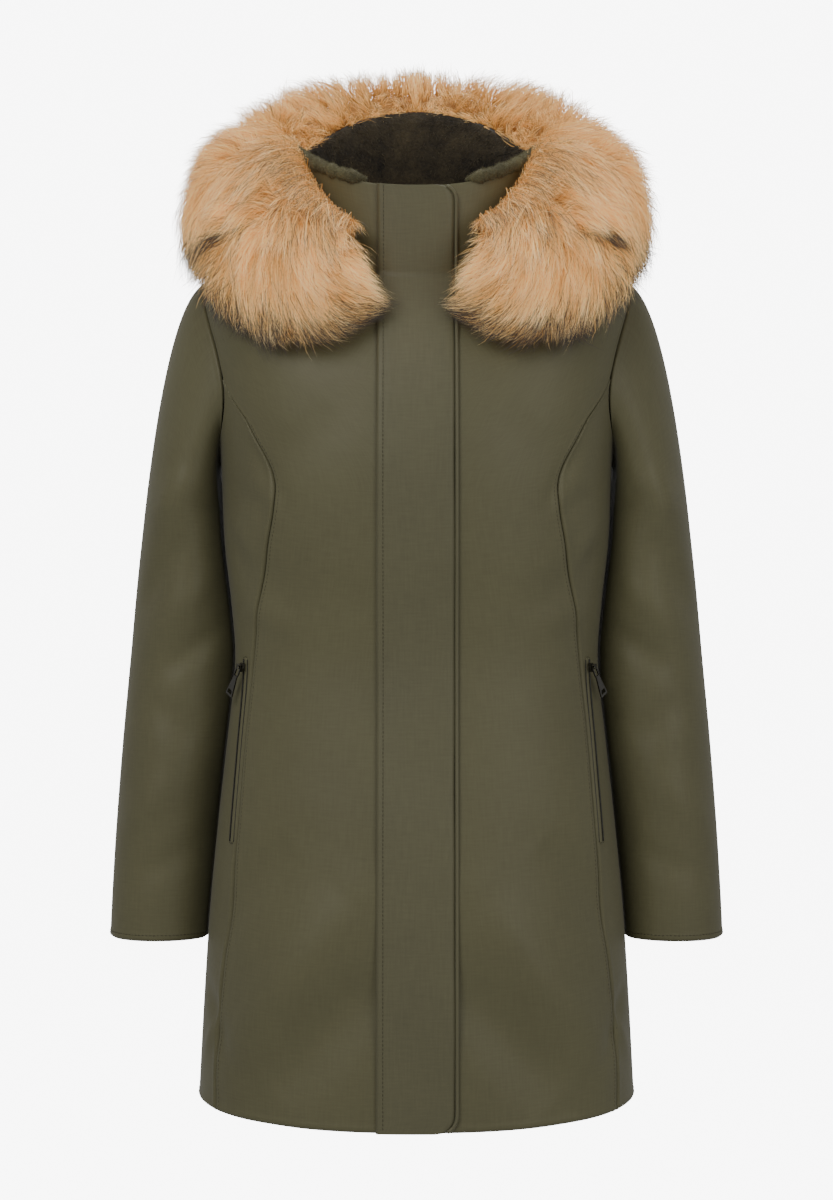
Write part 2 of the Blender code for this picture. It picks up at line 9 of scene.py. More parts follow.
import bmesh
import bpy
import numpy as np
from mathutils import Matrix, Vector


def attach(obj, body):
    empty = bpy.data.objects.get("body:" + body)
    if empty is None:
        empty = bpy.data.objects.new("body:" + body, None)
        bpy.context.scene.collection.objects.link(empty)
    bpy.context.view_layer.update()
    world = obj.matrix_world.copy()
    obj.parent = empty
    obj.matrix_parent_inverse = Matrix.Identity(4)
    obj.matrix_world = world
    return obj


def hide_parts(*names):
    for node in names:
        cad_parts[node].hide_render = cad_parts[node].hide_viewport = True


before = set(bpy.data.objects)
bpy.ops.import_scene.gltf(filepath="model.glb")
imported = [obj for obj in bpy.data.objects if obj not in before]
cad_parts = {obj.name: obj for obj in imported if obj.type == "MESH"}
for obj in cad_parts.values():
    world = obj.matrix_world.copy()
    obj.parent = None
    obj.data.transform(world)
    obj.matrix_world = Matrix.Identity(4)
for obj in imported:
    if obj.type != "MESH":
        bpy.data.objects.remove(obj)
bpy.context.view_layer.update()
rng = np.random.default_rng(7)

# ---- sizes in metres: the solid model's, but for the seams, the cuffs and the fur's inner edge ----
CLOTH = 0.002
PLUSH = 0.003
SEAM = -0.0002  # sewn edges run a hair past each other, so no light shows between them
LIFT = 0.0004
FRONT_ROUND, BACK_ROUND, RING_TILT = 2.35, 2.2, 1.6
FLAP_LEFT, FLAP_RIGHT, FLAP_THICK = 0.0345, 0.0360, 0.0026
PIPE_WIDE = 0.0034
ARMHOLE_REACH = math.radians(25)

BODY = np.array([  # height at side, front and back, half width, front and back depth, princess seam
    (-0.006, -0.052, 0.010, 0.0920, 0.1000, 0.0860, 0.90),  # neck
    (-0.016, -0.085, -0.022, 0.1350, 0.1130, 0.1020, 0.92),
    (-0.029, -0.118, -0.058, 0.1750, 0.1230, 0.1130, 0.94),
    (-0.044, -0.150, -0.098, 0.2000, 0.1300, 0.1200, 0.95),  # shoulder tip
    (-0.095, -0.185, -0.140, 0.1975, 0.1340, 0.1240, 0.94),
    (-0.155, -0.218, -0.186, 0.1910, 0.1360, 0.1240, 0.80),
    (-0.215, -0.255, -0.232, 0.1850, 0.1350, 0.1210, 0.705),  # underarm
    (-0.290, -0.310, -0.298, 0.1815, 0.1300, 0.1120, 0.755),
    (-0.350, -0.358, -0.352, 0.1748, 0.1235, 0.1020, 0.830),
    (-0.405, -0.409, -0.406, 0.1715, 0.1200, 0.0970, 0.880),  # waist
    (-0.478, -0.482, -0.479, 0.1790, 0.1250, 0.1080, 0.886),
    (-0.555, -0.560, -0.556, 0.1875, 0.1330, 0.1210, 0.878),
    (-0.640, -0.646, -0.641, 0.1955, 0.1380, 0.1300, 0.886),
    (-0.725, -0.733, -0.726, 0.2010, 0.1410, 0.1340, 0.900),
    (-0.8105, -0.8195, -0.811, 0.2055, 0.1430, 0.1360, 0.895),  # hem
])
NECK, TIP, UNDERARM, HEM = 0.0, 3.0, 6.0, 14.0
PRINCESS_TOP, PRINCESS_CLEAR = 4.25, 4.95  # rows where the princess seam leaves the armhole

SLEEVE = np.array([  # z, outer x, inner x, middle y, half depth
    (-0.260, 0.2605, 0.1790, 0.029, 0.076),  # upper arm
    (-0.330, 0.2690, 0.1700, 0.036, 0.072),
    (-0.400, 0.2760, 0.1660, 0.040, 0.067),  # elbow
    (-0.480, 0.2830, 0.1760, 0.036, 0.062),
    (-0.560, 0.2890, 0.1880, 0.034, 0.057),
    (-0.620, 0.2925, 0.1930, 0.032, 0.053),
    (-0.667, 0.2945, 0.1960, 0.030, 0.050),  # cuff
])
SLEEVE_CLEAR = 0.0035
CAP_OUT, CAP_TURN, CAP_DROP, CAP_CLEAR = 0.58, 0.3, 0.012, 0.006  # how the cap bends over the shoulder
CAP_SHARE = 0.32  # share of a sleeve's rows that are in its cap

RIM = np.array([(0.076, 0.030, 0.143, 0.1170, 0.1060, 0.1200)])  # the hood's opening, as a row of the body
POUCH = np.array([  # the hood hanging behind: place down the back, and how far off it
    (0.0, 0.0),
    (1.00, 0.0035),
    (1.90, 0.0035),
    (2.50, 0.0080),
    (2.75, 0.0330),
    (2.20, 0.0600),
    (1.30, 0.0640),
    (0.45, 0.0580),
    (0.0, 0.0),
])
HOOD_STEPS = len(POUCH) - 1

FUR = np.array([  # inner edge, outer edge and thickness, from a front end to the middle of the back
    (0.0320, -0.1170, -0.0150, 0.0350, -0.1280, -0.0930, 0.034),
    (0.0660, -0.1080, -0.0040, 0.0800, -0.1340, -0.1160, 0.046),
    (0.0950, -0.0830, 0.0300, 0.1400, -0.1130, -0.1080, 0.054),
    (0.1110, -0.0500, 0.0655, 0.1920, -0.0760, -0.0700, 0.058),
    (0.1190, 0.0000, 0.0780, 0.2120, -0.0200, -0.0120, 0.058),
    (0.1075, 0.0585, 0.0965, 0.1950, 0.0820, 0.0360, 0.062),
    (0.0665, 0.1045, 0.1290, 0.1240, 0.1750, 0.0850, 0.070),
    (0.0000, 0.1215, 0.1450, 0.0000, 0.2140, 0.1040, 0.072),
    (-0.0665, 0.1045, 0.1290, -0.1240, 0.1750, 0.0850, 0.070),
])
FUR_END = 7.0  # the row at the middle of the back

POCKET_TOP, POCKET_BOTTOM = -0.400, -0.567
POCKET_SHARE_TOP, POCKET_SHARE_BOTTOM = 0.920, 0.898
WELT_WIDE, CHAIN_WIDE = 0.0055, 0.0022

# ---- sizes of the fine work ----
STEP = 0.0045  # between two points of a cloth sheet
EDGE = np.array([0.0, 0.0008, 0.0018, 0.0034, 0.0060])  # points close to a seam
ROLL = np.array([0.0026, 0.0013, 0.0001, -0.0006, 0.0])  # how far cloth rolls in at them, under 0 for out
STITCH_LONG, STITCH_WIDE, STITCH_GAP = 0.0026, 0.0007, 0.0011
FLAP_STITCH = 0.0062  # from the flap's sewn edge to its topstitch
FUR_GLOW, PAPER_GLOW = 0.42, 7.8  # light given off: a painted glow on the fur, and an evenly bright paper, so that neither looks grey
PRINCESS_STITCHES = (-0.0048, 0.0030)  # from the princess seam
CUFF_STITCH = 0.978  # part of the sleeve above the cuff's stitch
CREASE_POINTS = 13  # points along a crease
FLIP = np.array([-1, 1, 1])  # from the wearer's left to the right
UP = np.array([0, 0, 1])


# ---- small maths ----
def smooth(table, place):
    """Rows between the rows of a table, on one smooth curve through them all."""
    last = len(table) - 1
    place = np.clip(np.asarray(place, float), 0, last)
    start = np.minimum(place.astype(int), last - 1)
    t = (place - start)[..., None]
    p, q, r, s = (table[np.clip(start + k, 0, last)] for k in (-1, 0, 1, 2))
    return 0.5 * (2 * q + (r - p) * t + (2 * p - 5 * q + 4 * r - s) * t**2 + (3 * q - p - 3 * r + s) * t**3)


def unit(vectors):
    return vectors / np.maximum(np.linalg.norm(vectors, axis=-1, keepdims=True), 1e-12)


def ease(low, high, value):
    """0 below low, 1 above high and a soft step between."""
    t = np.clip((value - low) / (high - low), 0, 1)
    return t * t * (3 - 2 * t)


def power(value, exponent):
    return np.sign(value) * np.abs(value) ** exponent


# ---- surfaces ----
def on_ring(ring, angle):
    """Points of rings. Angle 0 is the wearer's left side, 90 degrees the back and -90 the front."""
    z_side, z_front, z_back, half_width, front, back = (ring[..., k] for k in range(6))
    cosine, sine = np.cos(angle), np.sin(angle)
    behind = sine > 0
    deep = np.where(behind, back, front)
    z_end = np.where(behind, z_back, z_front)
    squareness = np.where(behind, BACK_ROUND, FRONT_ROUND)
    x = half_width * power(cosine, 2 / squareness)
    y = deep * power(sine, 2 / squareness)
    z = z_side + (z_end - z_side) * np.abs(sine) ** RING_TILT
    return np.stack(np.broadcast_arrays(x, y, z), -1)


def rim(angle):
    """The hood's opening."""
    return on_ring(RIM[np.zeros(np.shape(angle), int)], angle)


def body(place, angle):
    return on_ring(smooth(BODY, place), angle)


def body_normal(place, angle):
    step = 0.02
    along = body(place, angle + step) - body(place, angle - step)
    down = body(np.minimum(place + step, HEM), angle) - body(np.maximum(place - step, NECK), angle)
    return unit(np.cross(down, along))


def off_body(place, angle, off):
    return body(place, angle) + body_normal(place, angle) * np.asarray(off)[..., None]


def angle_at(share):
    """The angle ahead of the left side where a ring's front has this share of its half width."""
    return -np.arccos(np.clip(share, 0, 1) ** (FRONT_ROUND / 2))


def halved(shape, low, high, is_before, steps):
    """Where a test turns from true to false between two rows, found by halving."""
    low, high = np.full(shape, low), np.full(shape, high)
    for _ in range(steps):
        middle = (low + high) / 2
        before = is_before(middle)
        low, high = np.where(before, middle, low), np.where(before, high, middle)
    return low


def place_at(z, angle):
    """The row where the body is this high at an angle."""
    return halved(np.shape(z), NECK, HEM, lambda place: body(place, angle)[..., 2] > z, 40)


def armhole(place):
    """How far round from the side the armhole is open at a row."""
    part = np.clip((place - TIP) / (UNDERARM - TIP), 0, 1)
    return ARMHOLE_REACH * np.sin(np.pi * part) ** 0.75


def front_seam(place):
    """The angle of the front panel's outer edge: the side, then the armhole, then the princess seam."""
    princess = angle_at(smooth(BODY, place)[..., 6])
    return -armhole(place) + (princess + armhole(place)) * ease(PRINCESS_TOP, PRINCESS_CLEAR, place)


# ---- making cloth ----
def mesh_of(name, made):
    mesh = bpy.data.meshes.new(name)
    made.to_mesh(mesh)
    made.free()
    return mesh


def placed(name, mesh, materials):
    """A piece of the coat from a finished mesh."""
    mesh.shade_smooth()
    for material in materials:
        mesh.materials.append(material)
    piece = bpy.data.objects.new(name, mesh)
    bpy.context.scene.collection.objects.link(piece)
    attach(piece, "garment")
    return piece


def cloth(name, points, materials, wrap=False, thick=CLOTH, side=-1.0):
    """A sheet of cloth: a grid whose points are put in place from an array of rows, top row first."""
    rows, columns = points.shape[:2]
    made = bmesh.new()
    layer = made.loops.layers.uv.new("UVMap")
    bmesh.ops.create_grid(made, x_segments=columns - 1, y_segments=rows - 1, size=0.5)
    flat = np.array([vertex.co[:2] for vertex in made.verts])
    across = np.rint((flat[:, 0] + 0.5) * (columns - 1)).astype(int)
    down = np.rint((0.5 - flat[:, 1]) * (rows - 1)).astype(int)
    wide = np.linalg.norm(np.diff(points, axis=1), axis=2)
    long = np.linalg.norm(np.diff(points, axis=0), axis=2)
    u = np.concatenate([np.zeros((rows, 1)), np.cumsum(wide, 1)], 1)
    u -= u[:, -1:] / 2
    v = -np.concatenate([[0], np.cumsum(long.mean(1))])
    place = points[down, across]
    for vertex, point in zip(made.verts, place):
        vertex.co = point
    made.verts.index_update()
    for face in made.faces:
        for loop in face.loops:
            k = loop.vert.index
            loop[layer].uv = (u[down[k], across[k]], v[down[k]])
    if wrap:
        bmesh.ops.remove_doubles(made, verts=made.verts, dist=1e-6)
    piece = placed(name, mesh_of(name, made), materials)
    wall = piece.modifiers.new("wall", "SOLIDIFY")
    wall.thickness = thick
    wall.offset = side
    wall.use_quality_normals = True
    if len(materials) > 1:
        wall.material_offset = 1
    piece["cut"] = [float(u[:, -1].max() * 2), float(-v[-1]), float(sheet_area(points))]
    return piece


def run_lengths(line):
    """How far along a line of points each of them is."""
    return np.concatenate([[0], np.cumsum(np.linalg.norm(np.diff(line, axis=0), axis=1))])


def sheet_area(points):
    one = np.cross(points[1:, :-1] - points[:-1, :-1], points[:-1, 1:] - points[:-1, :-1])
    two = np.cross(points[1:, :-1] - points[1:, 1:], points[:-1, 1:] - points[1:, 1:])
    return (np.linalg.norm(one, axis=2).sum() + np.linalg.norm(two, axis=2).sum()) / 2


def declare(piece):
    """Takes the flat cut, as measured on its smooth sheet, off a cloth piece again."""
    del piece["cut"]


def spaced(curve_points, count):
    """Shares along curves, at even steps but closer at both ends. Curves are rows of many points."""
    places = np.linspace(0, 1, curve_points.shape[1])
    shares, reaches = [], []
    for length in map(run_lengths, curve_points):
        edge = EDGE * min(1.0, length[-1] / (4 * EDGE[-1]))
        inner = np.linspace(edge[-1], length[-1] - edge[-1], count - 2 * len(EDGE) + 2)
        wanted = np.concatenate([edge[:-1], inner, length[-1] - edge[-2::-1]])
        shares.append(np.interp(wanted, length, places))
        reaches.append(np.minimum(wanted, length[-1] - wanted))
    return np.array(shares), np.array(reaches)


def rows_between(first, last):
    """Rows of the body at even steps between two rows, closer at the ends, measured down the front."""
    line = body(np.linspace(first, last, 600), np.full(600, -1.2))
    share, reach = spaced(line[None], int(run_lengths(line)[-1] / STEP) + 8)
    return first + (last - first) * share[0], reach[0]


def rolled(reach):
    return -np.interp(reach, EDGE, ROLL)


# creases: from x and z to x and z, bow, width and height (under 0 for a trough)
FRONT_CREASES = [
    (0.170, -0.300, 0.120, -0.345, 0.006, 0.016, -0.0023),
    (-0.168, -0.312, -0.118, -0.350, -0.006, 0.018, -0.0022),
    (0.165, -0.352, 0.110, -0.372, 0.004, 0.014, 0.0020),
    (-0.160, -0.360, -0.105, -0.385, 0.004, 0.015, 0.0019),
    (0.152, -0.205, 0.118, -0.262, 0.004, 0.009, -0.0026),
    (-0.150, -0.200, -0.122, -0.250, 0.004, 0.008, -0.0024),
    (-0.172, -0.215, -0.150, -0.300, 0.004, 0.009, 0.0026),
    (0.170, -0.270, 0.140, -0.330, 0.004, 0.010, 0.0026),
    (0.055, -0.610, 0.172, -0.775, 0.010, 0.028, 0.0075),
    (0.030, -0.680, 0.130, -0.800, 0.006, 0.026, -0.0075),
    (0.110, -0.560, 0.185, -0.660, 0.008, 0.022, -0.0050),
    (-0.190, -0.580, -0.130, -0.640, 0.010, 0.020, -0.0032),
    (-0.185, -0.660, -0.070, -0.760, 0.016, 0.030, 0.0032),
    (-0.060, -0.180, -0.130, -0.240, 0.010, 0.024, -0.0026),
    (0.070, -0.170, 0.140, -0.225, -0.008, 0.022, -0.0026),
    (0.165, -0.245, 0.130, -0.275, 0.003, 0.010, -0.0017),
    (-0.168, -0.250, -0.130, -0.282, -0.003, 0.010, -0.0019),
    (0.195, -0.700, 0.172, -0.760, 0.003, 0.010, -0.0029),
    (0.198, -0.770, 0.176, -0.720, 0.003, 0.009, 0.0026),
    (-0.196, -0.585, -0.168, -0.612, 0.003, 0.008, -0.0023),
    (-0.196, -0.606, -0.170, -0.632, 0.003, 0.008, 0.0017),
]
BACK_CREASES = [
    (-0.120, -0.395, 0.020, -0.415, 0.010, 0.020, -0.0043),
    (0.030, -0.385, 0.130, -0.420, -0.006, 0.018, -0.0041),
    (-0.090, -0.430, 0.080, -0.440, -0.008, 0.022, 0.0038),
    (-0.150, -0.290, -0.060, -0.360, 0.010, 0.022, -0.0038),
    (0.150, -0.280, 0.070, -0.350, -0.010, 0.022, -0.0035),
    (-0.110, -0.560, -0.040, -0.780, 0.015, 0.034, 0.0058),
    (0.060, -0.540, 0.110, -0.790, -0.015, 0.034, 0.0055),
    (0.000, -0.600, 0.010, -0.800, 0.008, 0.030, -0.0043),
]


def crease_lines(creases, ahead):
    """Each crease as a short curve of points on the front or back, with its width and height."""
    t = np.linspace(0, 1, CREASE_POINTS)
    lines = []
    for x, z, to_x, to_z, bow, wide, high in creases:
        down = z + (to_z - z) * t + bow * 4 * t * (1 - t)
        lines.append((on_face(x + (to_x - x) * t, down, ahead), wide, high))
    return lines


def relief(points, lines):
    """How far creases push points out along the cloth's normal."""
    pushed = np.zeros(points.shape[:-1])
    for line, wide, high in lines:
        best = np.full(points.shape[:-1], np.inf)
        where = np.zeros(points.shape[:-1])
        for k, (start, end) in enumerate(zip(line[:-1], line[1:])):
            run = end - start
            t = np.clip(((points - start) @ run) / (run @ run), 0, 1)
            far = np.linalg.norm(points - start - t[..., None] * run, axis=-1)
            closer = far < best
            best = np.where(closer, far, best)
            where = np.where(closer, (k + t) / (len(line) - 1), where)
        pushed += high * np.exp(-((best / wide) ** 2)) * np.sin(np.pi * np.clip(where, 0.04, 0.96)) ** 0.6
    return pushed


def on_face(x, z, ahead):
    """Points of the body's front or back at a distance from the middle and a height."""
    sign, squareness = (-1, FRONT_ROUND) if ahead else (1, BACK_ROUND)
    angle = np.full(np.shape(x), sign * math.pi / 2)
    for _ in range(4):
        place = place_at(z, angle)
        share = np.clip(np.abs(x) / smooth(BODY, place)[..., 3], 0, 0.999)
        turn = sign * np.arccos(share ** (squareness / 2))
        angle = np.where(x >= 0, turn, sign * math.pi - turn)
    return body(place, angle)


BODY_LINES = crease_lines(FRONT_CREASES, True) + crease_lines(BACK_CREASES, False)


def body_sheet(places, reach_down, first, last, count):
    """Points of a panel between two edge angles, rolled in at its seams and creased."""
    t = np.linspace(0, 1, 60)
    angles = first[:, None] + (last - first)[:, None] * t
    share, reach = spaced(body(places[:, None] + 0 * angles, angles), count)
    angle = first[:, None] + (last - first)[:, None] * share
    place = places[:, None] + 0 * angle
    flat = body(place, angle)
    off = rolled(reach) + rolled(reach_down)[:, None] + relief(flat, BODY_LINES)
    return off_body(place, angle, off)


def mirrored(points):
    """The same sheet on the wearer's right."""
    return points[:, ::-1] * FLIP


# ---- nodes ----
def linear(code):
    """A colour from its sRGB hex code."""
    parts = [int(code[k:k + 2], 16) / 255 for k in (1, 3, 5)]
    return (*(p / 12.92 if p <= 0.04045 else ((p + 0.055) / 1.055) ** 2.4 for p in parts), 1.0)


def add(tree, kind, settings=(), **links):
    """A node with its settings, and its inputs either linked or given a value."""
    node = tree.nodes.new(kind)
    for name, value in dict(settings).items():
        setattr(node, name, value)
    for name, value in links.items():
        socket = node.inputs[int(name[1:])] if name[0] == "i" and name[1:].isdigit() else None
        socket = socket or node.inputs[name.replace("_", " ")]
        if isinstance(value, bpy.types.NodeSocket):
            tree.links.new(value, socket)
        else:
            socket.default_value = value
    return node


def new_material(name, **values):
    material = bpy.data.materials.new(name)
    material.use_nodes = True
    shader = material.node_tree.nodes["Principled BSDF"]
    for key, value in values.items():
        shader.inputs[key.replace("_", " ")].default_value = value
    return material, material.node_tree


def ramp(tree, factor, *stops):
    node = add(tree, "ShaderNodeValToRGB", Fac=factor)
    line = node.color_ramp
    while len(line.elements) < len(stops):
        line.elements.new(0.5)
    for element, (at, code) in zip(line.elements, stops):
        element.position = at
        element.color = linear(code)
    return node.outputs[0]


def noise(tree, scale, detail=2.0, rough=0.5, space="Object"):
    """Soft noise, or long threads of it where the scale is one of three."""
    vector = add(tree, "ShaderNodeTexCoord").outputs[space]
    if isinstance(scale, tuple):
        vector = add(tree, "ShaderNodeMapping", Vector=vector, Scale=scale).outputs[0]
        scale = 1.0
    node = add(tree, "ShaderNodeTexNoise", Vector=vector, Scale=scale, Detail=detail, Roughness=rough)
    return node.outputs[0]


def wave(tree, space, settings=(), **values):
    vector = add(tree, "ShaderNodeTexCoord").outputs[space]
    return add(tree, "ShaderNodeTexWave", settings, Vector=vector, **values).outputs[1]


def maths(tree, operation, *values):
    links = {f"i{k}": value for k, value in enumerate(values)}
    return add(tree, "ShaderNodeMath", {"operation": operation}, **links).outputs[0]


def attribute(tree, name):
    return add(tree, "ShaderNodeAttribute", {"attribute_name": name}).outputs["Fac"]


def mixed(tree, factor, one, two, blend="MIX"):
    node = add(tree, "ShaderNodeMix", {"data_type": "RGBA", "blend_type": blend}, i0=factor, i6=one, i7=two)
    return node.outputs[2]


def finish(material, colour, *bumps):
    """Links a surface's colour and its bumps, each a height, a strength and a distance."""
    tree = material.node_tree
    shader = tree.nodes["Principled BSDF"]
    tree.links.new(colour, shader.inputs["Base Color"])
    normal = {}
    for height, strength, distance in bumps:
        bump = add(tree, "ShaderNodeBump", Height=height, Strength=strength, Distance=distance, **normal)
        normal = {"Normal": bump.outputs[0]}
    if normal:
        tree.links.new(normal["Normal"], shader.inputs["Normal"])
    return material


def satin_twill(name, light, dark):
    """Woven satin polyester over light padding: an even matt sheen, a fine twill and a faint cloudiness."""
    material, tree = new_material(
        name, Roughness=0.5, Sheen_Weight=0.10, Sheen_Roughness=0.45, Specular_IOR_Level=0.30
    )
    # slubs: threads a little thicker than their neighbours, long along the weft and short along the warp
    weft = noise(tree, (60.0, 620.0, 1.0), space="UV")
    warp = noise(tree, (620.0, 40.0, 1.0), space="UV")
    cloud = maths(tree, "MULTIPLY", noise(tree, 9.0, 3.0), 0.4)
    cloudy = maths(tree, "MULTIPLY_ADD", maths(tree, "ADD", weft, warp), 0.3, cloud)
    # threads 0.35 mm apart are too fine to show, so the twill line is drawn at 1.2 mm
    twill = wave(tree, "UV", {"bands_direction": "DIAGONAL"}, Scale=1 / 0.0012 / 2, Distortion=1.5,
                 Detail=1.0, Detail_Scale=2.0)
    colour = ramp(tree, cloudy, (0.1, dark), (0.9, light))
    return finish(material, colour, (twill, 0.10, 0.0001), (noise(tree, 28.0), 0.25, 0.0015))


def plush_pile(name, light, dark):
    """Short knitted plush: dense dark pile that parts in soft patches and catches light at its tips."""
    material, tree = new_material(name, Roughness=0.95, Sheen_Weight=0.05, Sheen_Roughness=0.5)
    patch = noise(tree, 38.0, 5.0, 0.62)
    both = maths(tree, "MULTIPLY_ADD", noise(tree, 420.0, 3.0, 0.7), 0.5, patch)
    return finish(material, ramp(tree, both, (0.55, dark), (1.0, light)), (both, 0.9, 0.004))


def plain_lining(name, code):
    """Smooth woven lining on the inside of the shell: dark, a little glossy, with a fine rib."""
    material, tree = new_material(name, Roughness=0.45)
    colour = ramp(tree, noise(tree, 30.0, 3.0), (0.3, code), (0.8, "#2b2a20"))
    return finish(material, colour, (wave(tree, "UV", Scale=400.0), 0.1, 0.0001))


def faux_fur(name):
    """Long modacrylic fur: warm tan hair, paler and glossier on its upper side, dark at some tips, darker at
    the roots partly as painted shade, and with a painted glow in its own colour.
    """
    material, tree = new_material(
        name, Roughness=0.5, Sheen_Weight=0.15, Specular_IOR_Level=0.35, Emission_Strength=FUR_GLOW
    )
    # along each hair: darker at the root, partly the hair's own colour and partly painted shade deep among
    # the hairs
    length = ramp(tree, attribute(tree, "along"),
                  (0.0, "#6a4319"), (0.3, "#d29c53"), (0.75, "#fad28b"), (1.0, "#ffe9b8"))
    shade = ramp(tree, attribute(tree, "tone"), (0.0, "#93704a"), (0.45, "#e6d6bf"), (0.8, "#ffffff"))
    tan = mixed(tree, 0.85, length, shade, "MULTIPLY")
    colour = mixed(tree, attribute(tree, "smoke"), tan, linear("#3c3632"))
    # painted glow: the fur gives off light in its own colour, standing in for light passed from hair to hair
    tree.links.new(colour, tree.nodes["Principled BSDF"].inputs["Emission Color"])
    return finish(material, colour)


def pile_hair(name, root, tip):
    """Pile fibres of the knitted plush: dark at the root, soft and lighter at the tip, in parted patches."""
    material, tree = new_material(name, Roughness=0.8)
    both = maths(tree, "MULTIPLY", attribute(tree, "along"), attribute(tree, "tone"))
    return finish(material, ramp(tree, both, (0.0, root), (0.9, tip)))


def fur_backing(name):
    """Knitted backing and underfur of the trim, seen only deep between the locks."""
    material, tree = new_material(name, Roughness=0.9)
    down = noise(tree, 160.0, 3.0)
    return finish(material, ramp(tree, down, (0.3, "#a3743f"), (0.8, "#d0a062")), (down, 0.8, 0.003))


def gunmetal(name):
    """Die-cast zinc with a black nickel finish: dark, glossy, with a fine cast grain and soft wear."""
    material, tree = new_material(name, Metallic=1.0, Roughness=0.2)
    grain = noise(tree, 1500.0, 3.0)
    return finish(material, ramp(tree, grain, (0.3, "#4f4d49"), (0.8, "#77756f")), (grain, 0.15, 0.0001))


def spun_thread(name, code):
    """Spun polyester sewing thread, a twist that shows as fine slanting lines."""
    material, tree = new_material(name, Roughness=0.6)
    twist = wave(tree, "Object", {"bands_direction": "DIAGONAL"}, Scale=900.0)
    return finish(material, ramp(tree, twist, (0.2, code), (0.9, "#56523a")))


def nylon_coil(name):
    """Moulded nylon zip coil on a woven tape: near black olive with a low gloss. The same near black also
    paints the shadow of each pocket welt's fold, as a cord.
    """
    material, tree = new_material(name, Roughness=0.4)
    return finish(material, ramp(tree, noise(tree, 1200.0), (0.3, "#1c1b15"), (0.8, "#2d2b20")))


SHELL = satin_twill("satin polyester twill shell", "#706d4f", "#57533c")
FLAP = satin_twill("satin polyester twill flap", "#706d51", "#55523e")
LINING = plain_lining("woven taffeta lining", "#1f1e17")
PILE = plush_pile("knitted plush lining", "#4a402b", "#1a150c")
ROLL_PILE = plush_pile("knitted plush roll", "#75704f", "#4a4630")
HAIR = faux_fur("modacrylic fur hair")
PELT_BACK = fur_backing("fur backing knit")
PILE_HAIR = pile_hair("plush pile fibre", "#171209", "#6a5d40")
ROLL_HAIR = pile_hair("plush roll fibre", "#3a3724", "#8a8563")
METAL = gunmetal("black nickel zinc")
THREAD = spun_thread("spun polyester thread", "#3a3724")
ZIP_COIL_AND_SHADE = nylon_coil("nylon zip coil")
LINED = [SHELL, LINING]  # outside and inside


# ---- body panels ----
def gap(place, angle, distance):
    """An angle moved by a distance along its ring."""
    step = 0.002
    speed = np.linalg.norm(body(place, angle + step) - body(place, angle - step), axis=-1) / (2 * step)
    return angle + distance / speed


def pair(name, points, materials, wrap=False):
    return [cloth(name + "_left", points, materials, wrap),
            cloth(name + "_right", mirrored(points), materials, wrap)]


def make_body():
    places, reach = rows_between(NECK, HEM)
    first = gap(places, np.full(len(places), -math.pi / 2), SEAM / 2)
    last = gap(places, front_seam(places), -SEAM / 2)
    fronts = pair("front_panel", body_sheet(places, reach, first, last, 44), LINED)
    low, low_reach = rows_between(PRINCESS_TOP + 0.12, HEM)
    first = gap(low, front_seam(low), SEAM / 2)
    last = gap(low, -armhole(low), -SEAM / 2)
    sides = pair("side_panel", body_sheet(low, low_reach, first, last, 24), LINED)
    edge = gap(places, armhole(places), SEAM / 2)
    return fronts, sides, cloth("back_panel", body_sheet(places, reach, edge, math.pi - edge, 78), LINED)


# ---- sleeves ----
def armhole_point(turn):
    """Points of the armhole. Turn 0 is the shoulder tip, and it goes down the front."""
    place = TIP + (UNDERARM - TIP) * (1 - np.cos(turn)) / 2
    return body(place, np.where(np.sin(turn) > 0, -1, 1) * armhole(place))


def sleeve_point(place, turn):
    z, outer, inner, y_middle, half_deep = (smooth(SLEEVE, place)[..., k] for k in range(5))
    x = (outer + inner) / 2 + (outer - inner) / 2 * np.cos(turn)
    y = y_middle - half_deep * np.sin(turn)
    return clear_of_body(np.stack(np.broadcast_arrays(x, y, z), -1))


def clear_of_body(points):
    """Points moved sideways where they would touch the side of the body."""
    x, y, z = (points[..., k] for k in range(3))
    row = halved(z.shape, UNDERARM - 0.3, HEM, lambda place: smooth(BODY, place)[..., 0] > z, 24)
    ring = smooth(BODY, row)
    deep = np.where(y > 0, ring[..., 5], ring[..., 4])
    squareness = np.where(y > 0, BACK_ROUND, FRONT_ROUND)
    rest = 1 - np.minimum(np.abs(y) / deep, 1) ** squareness
    side = ring[..., 3] * rest ** (1 / squareness) + SLEEVE_CLEAR
    return np.stack([np.maximum(x, side), y, z], -1)


def sleeve_surface(part, turn):
    """Points of the left sleeve: part 0 at the armhole, CAP_SHARE at the upper arm and 1 at the cuff."""
    cap = np.clip(part / CAP_SHARE, 0, 1)[..., None]
    start = armhole_point(turn) + np.array([SEAM, 0, 0])
    end = sleeve_point(np.zeros(np.shape(turn)), turn)
    bend = start + (end - start) * CAP_OUT
    bend[..., 1] = start[..., 1] + (end - start)[..., 1] * CAP_TURN
    bend[..., 2] = start[..., 2] - CAP_DROP
    pushed = np.maximum(bend[..., 0], start[..., 0] + CAP_CLEAR)
    bend[..., 0] = np.where(np.cos(turn) < 0.999, pushed, bend[..., 0])
    upper = start * (1 - cap) ** 2 + bend * 2 * cap * (1 - cap) + end * cap**2
    lower = sleeve_point((len(SLEEVE) - 1) * np.clip((part - CAP_SHARE) / (1 - CAP_SHARE), 0, 1), turn)
    return np.where(cap < 1, upper, lower)


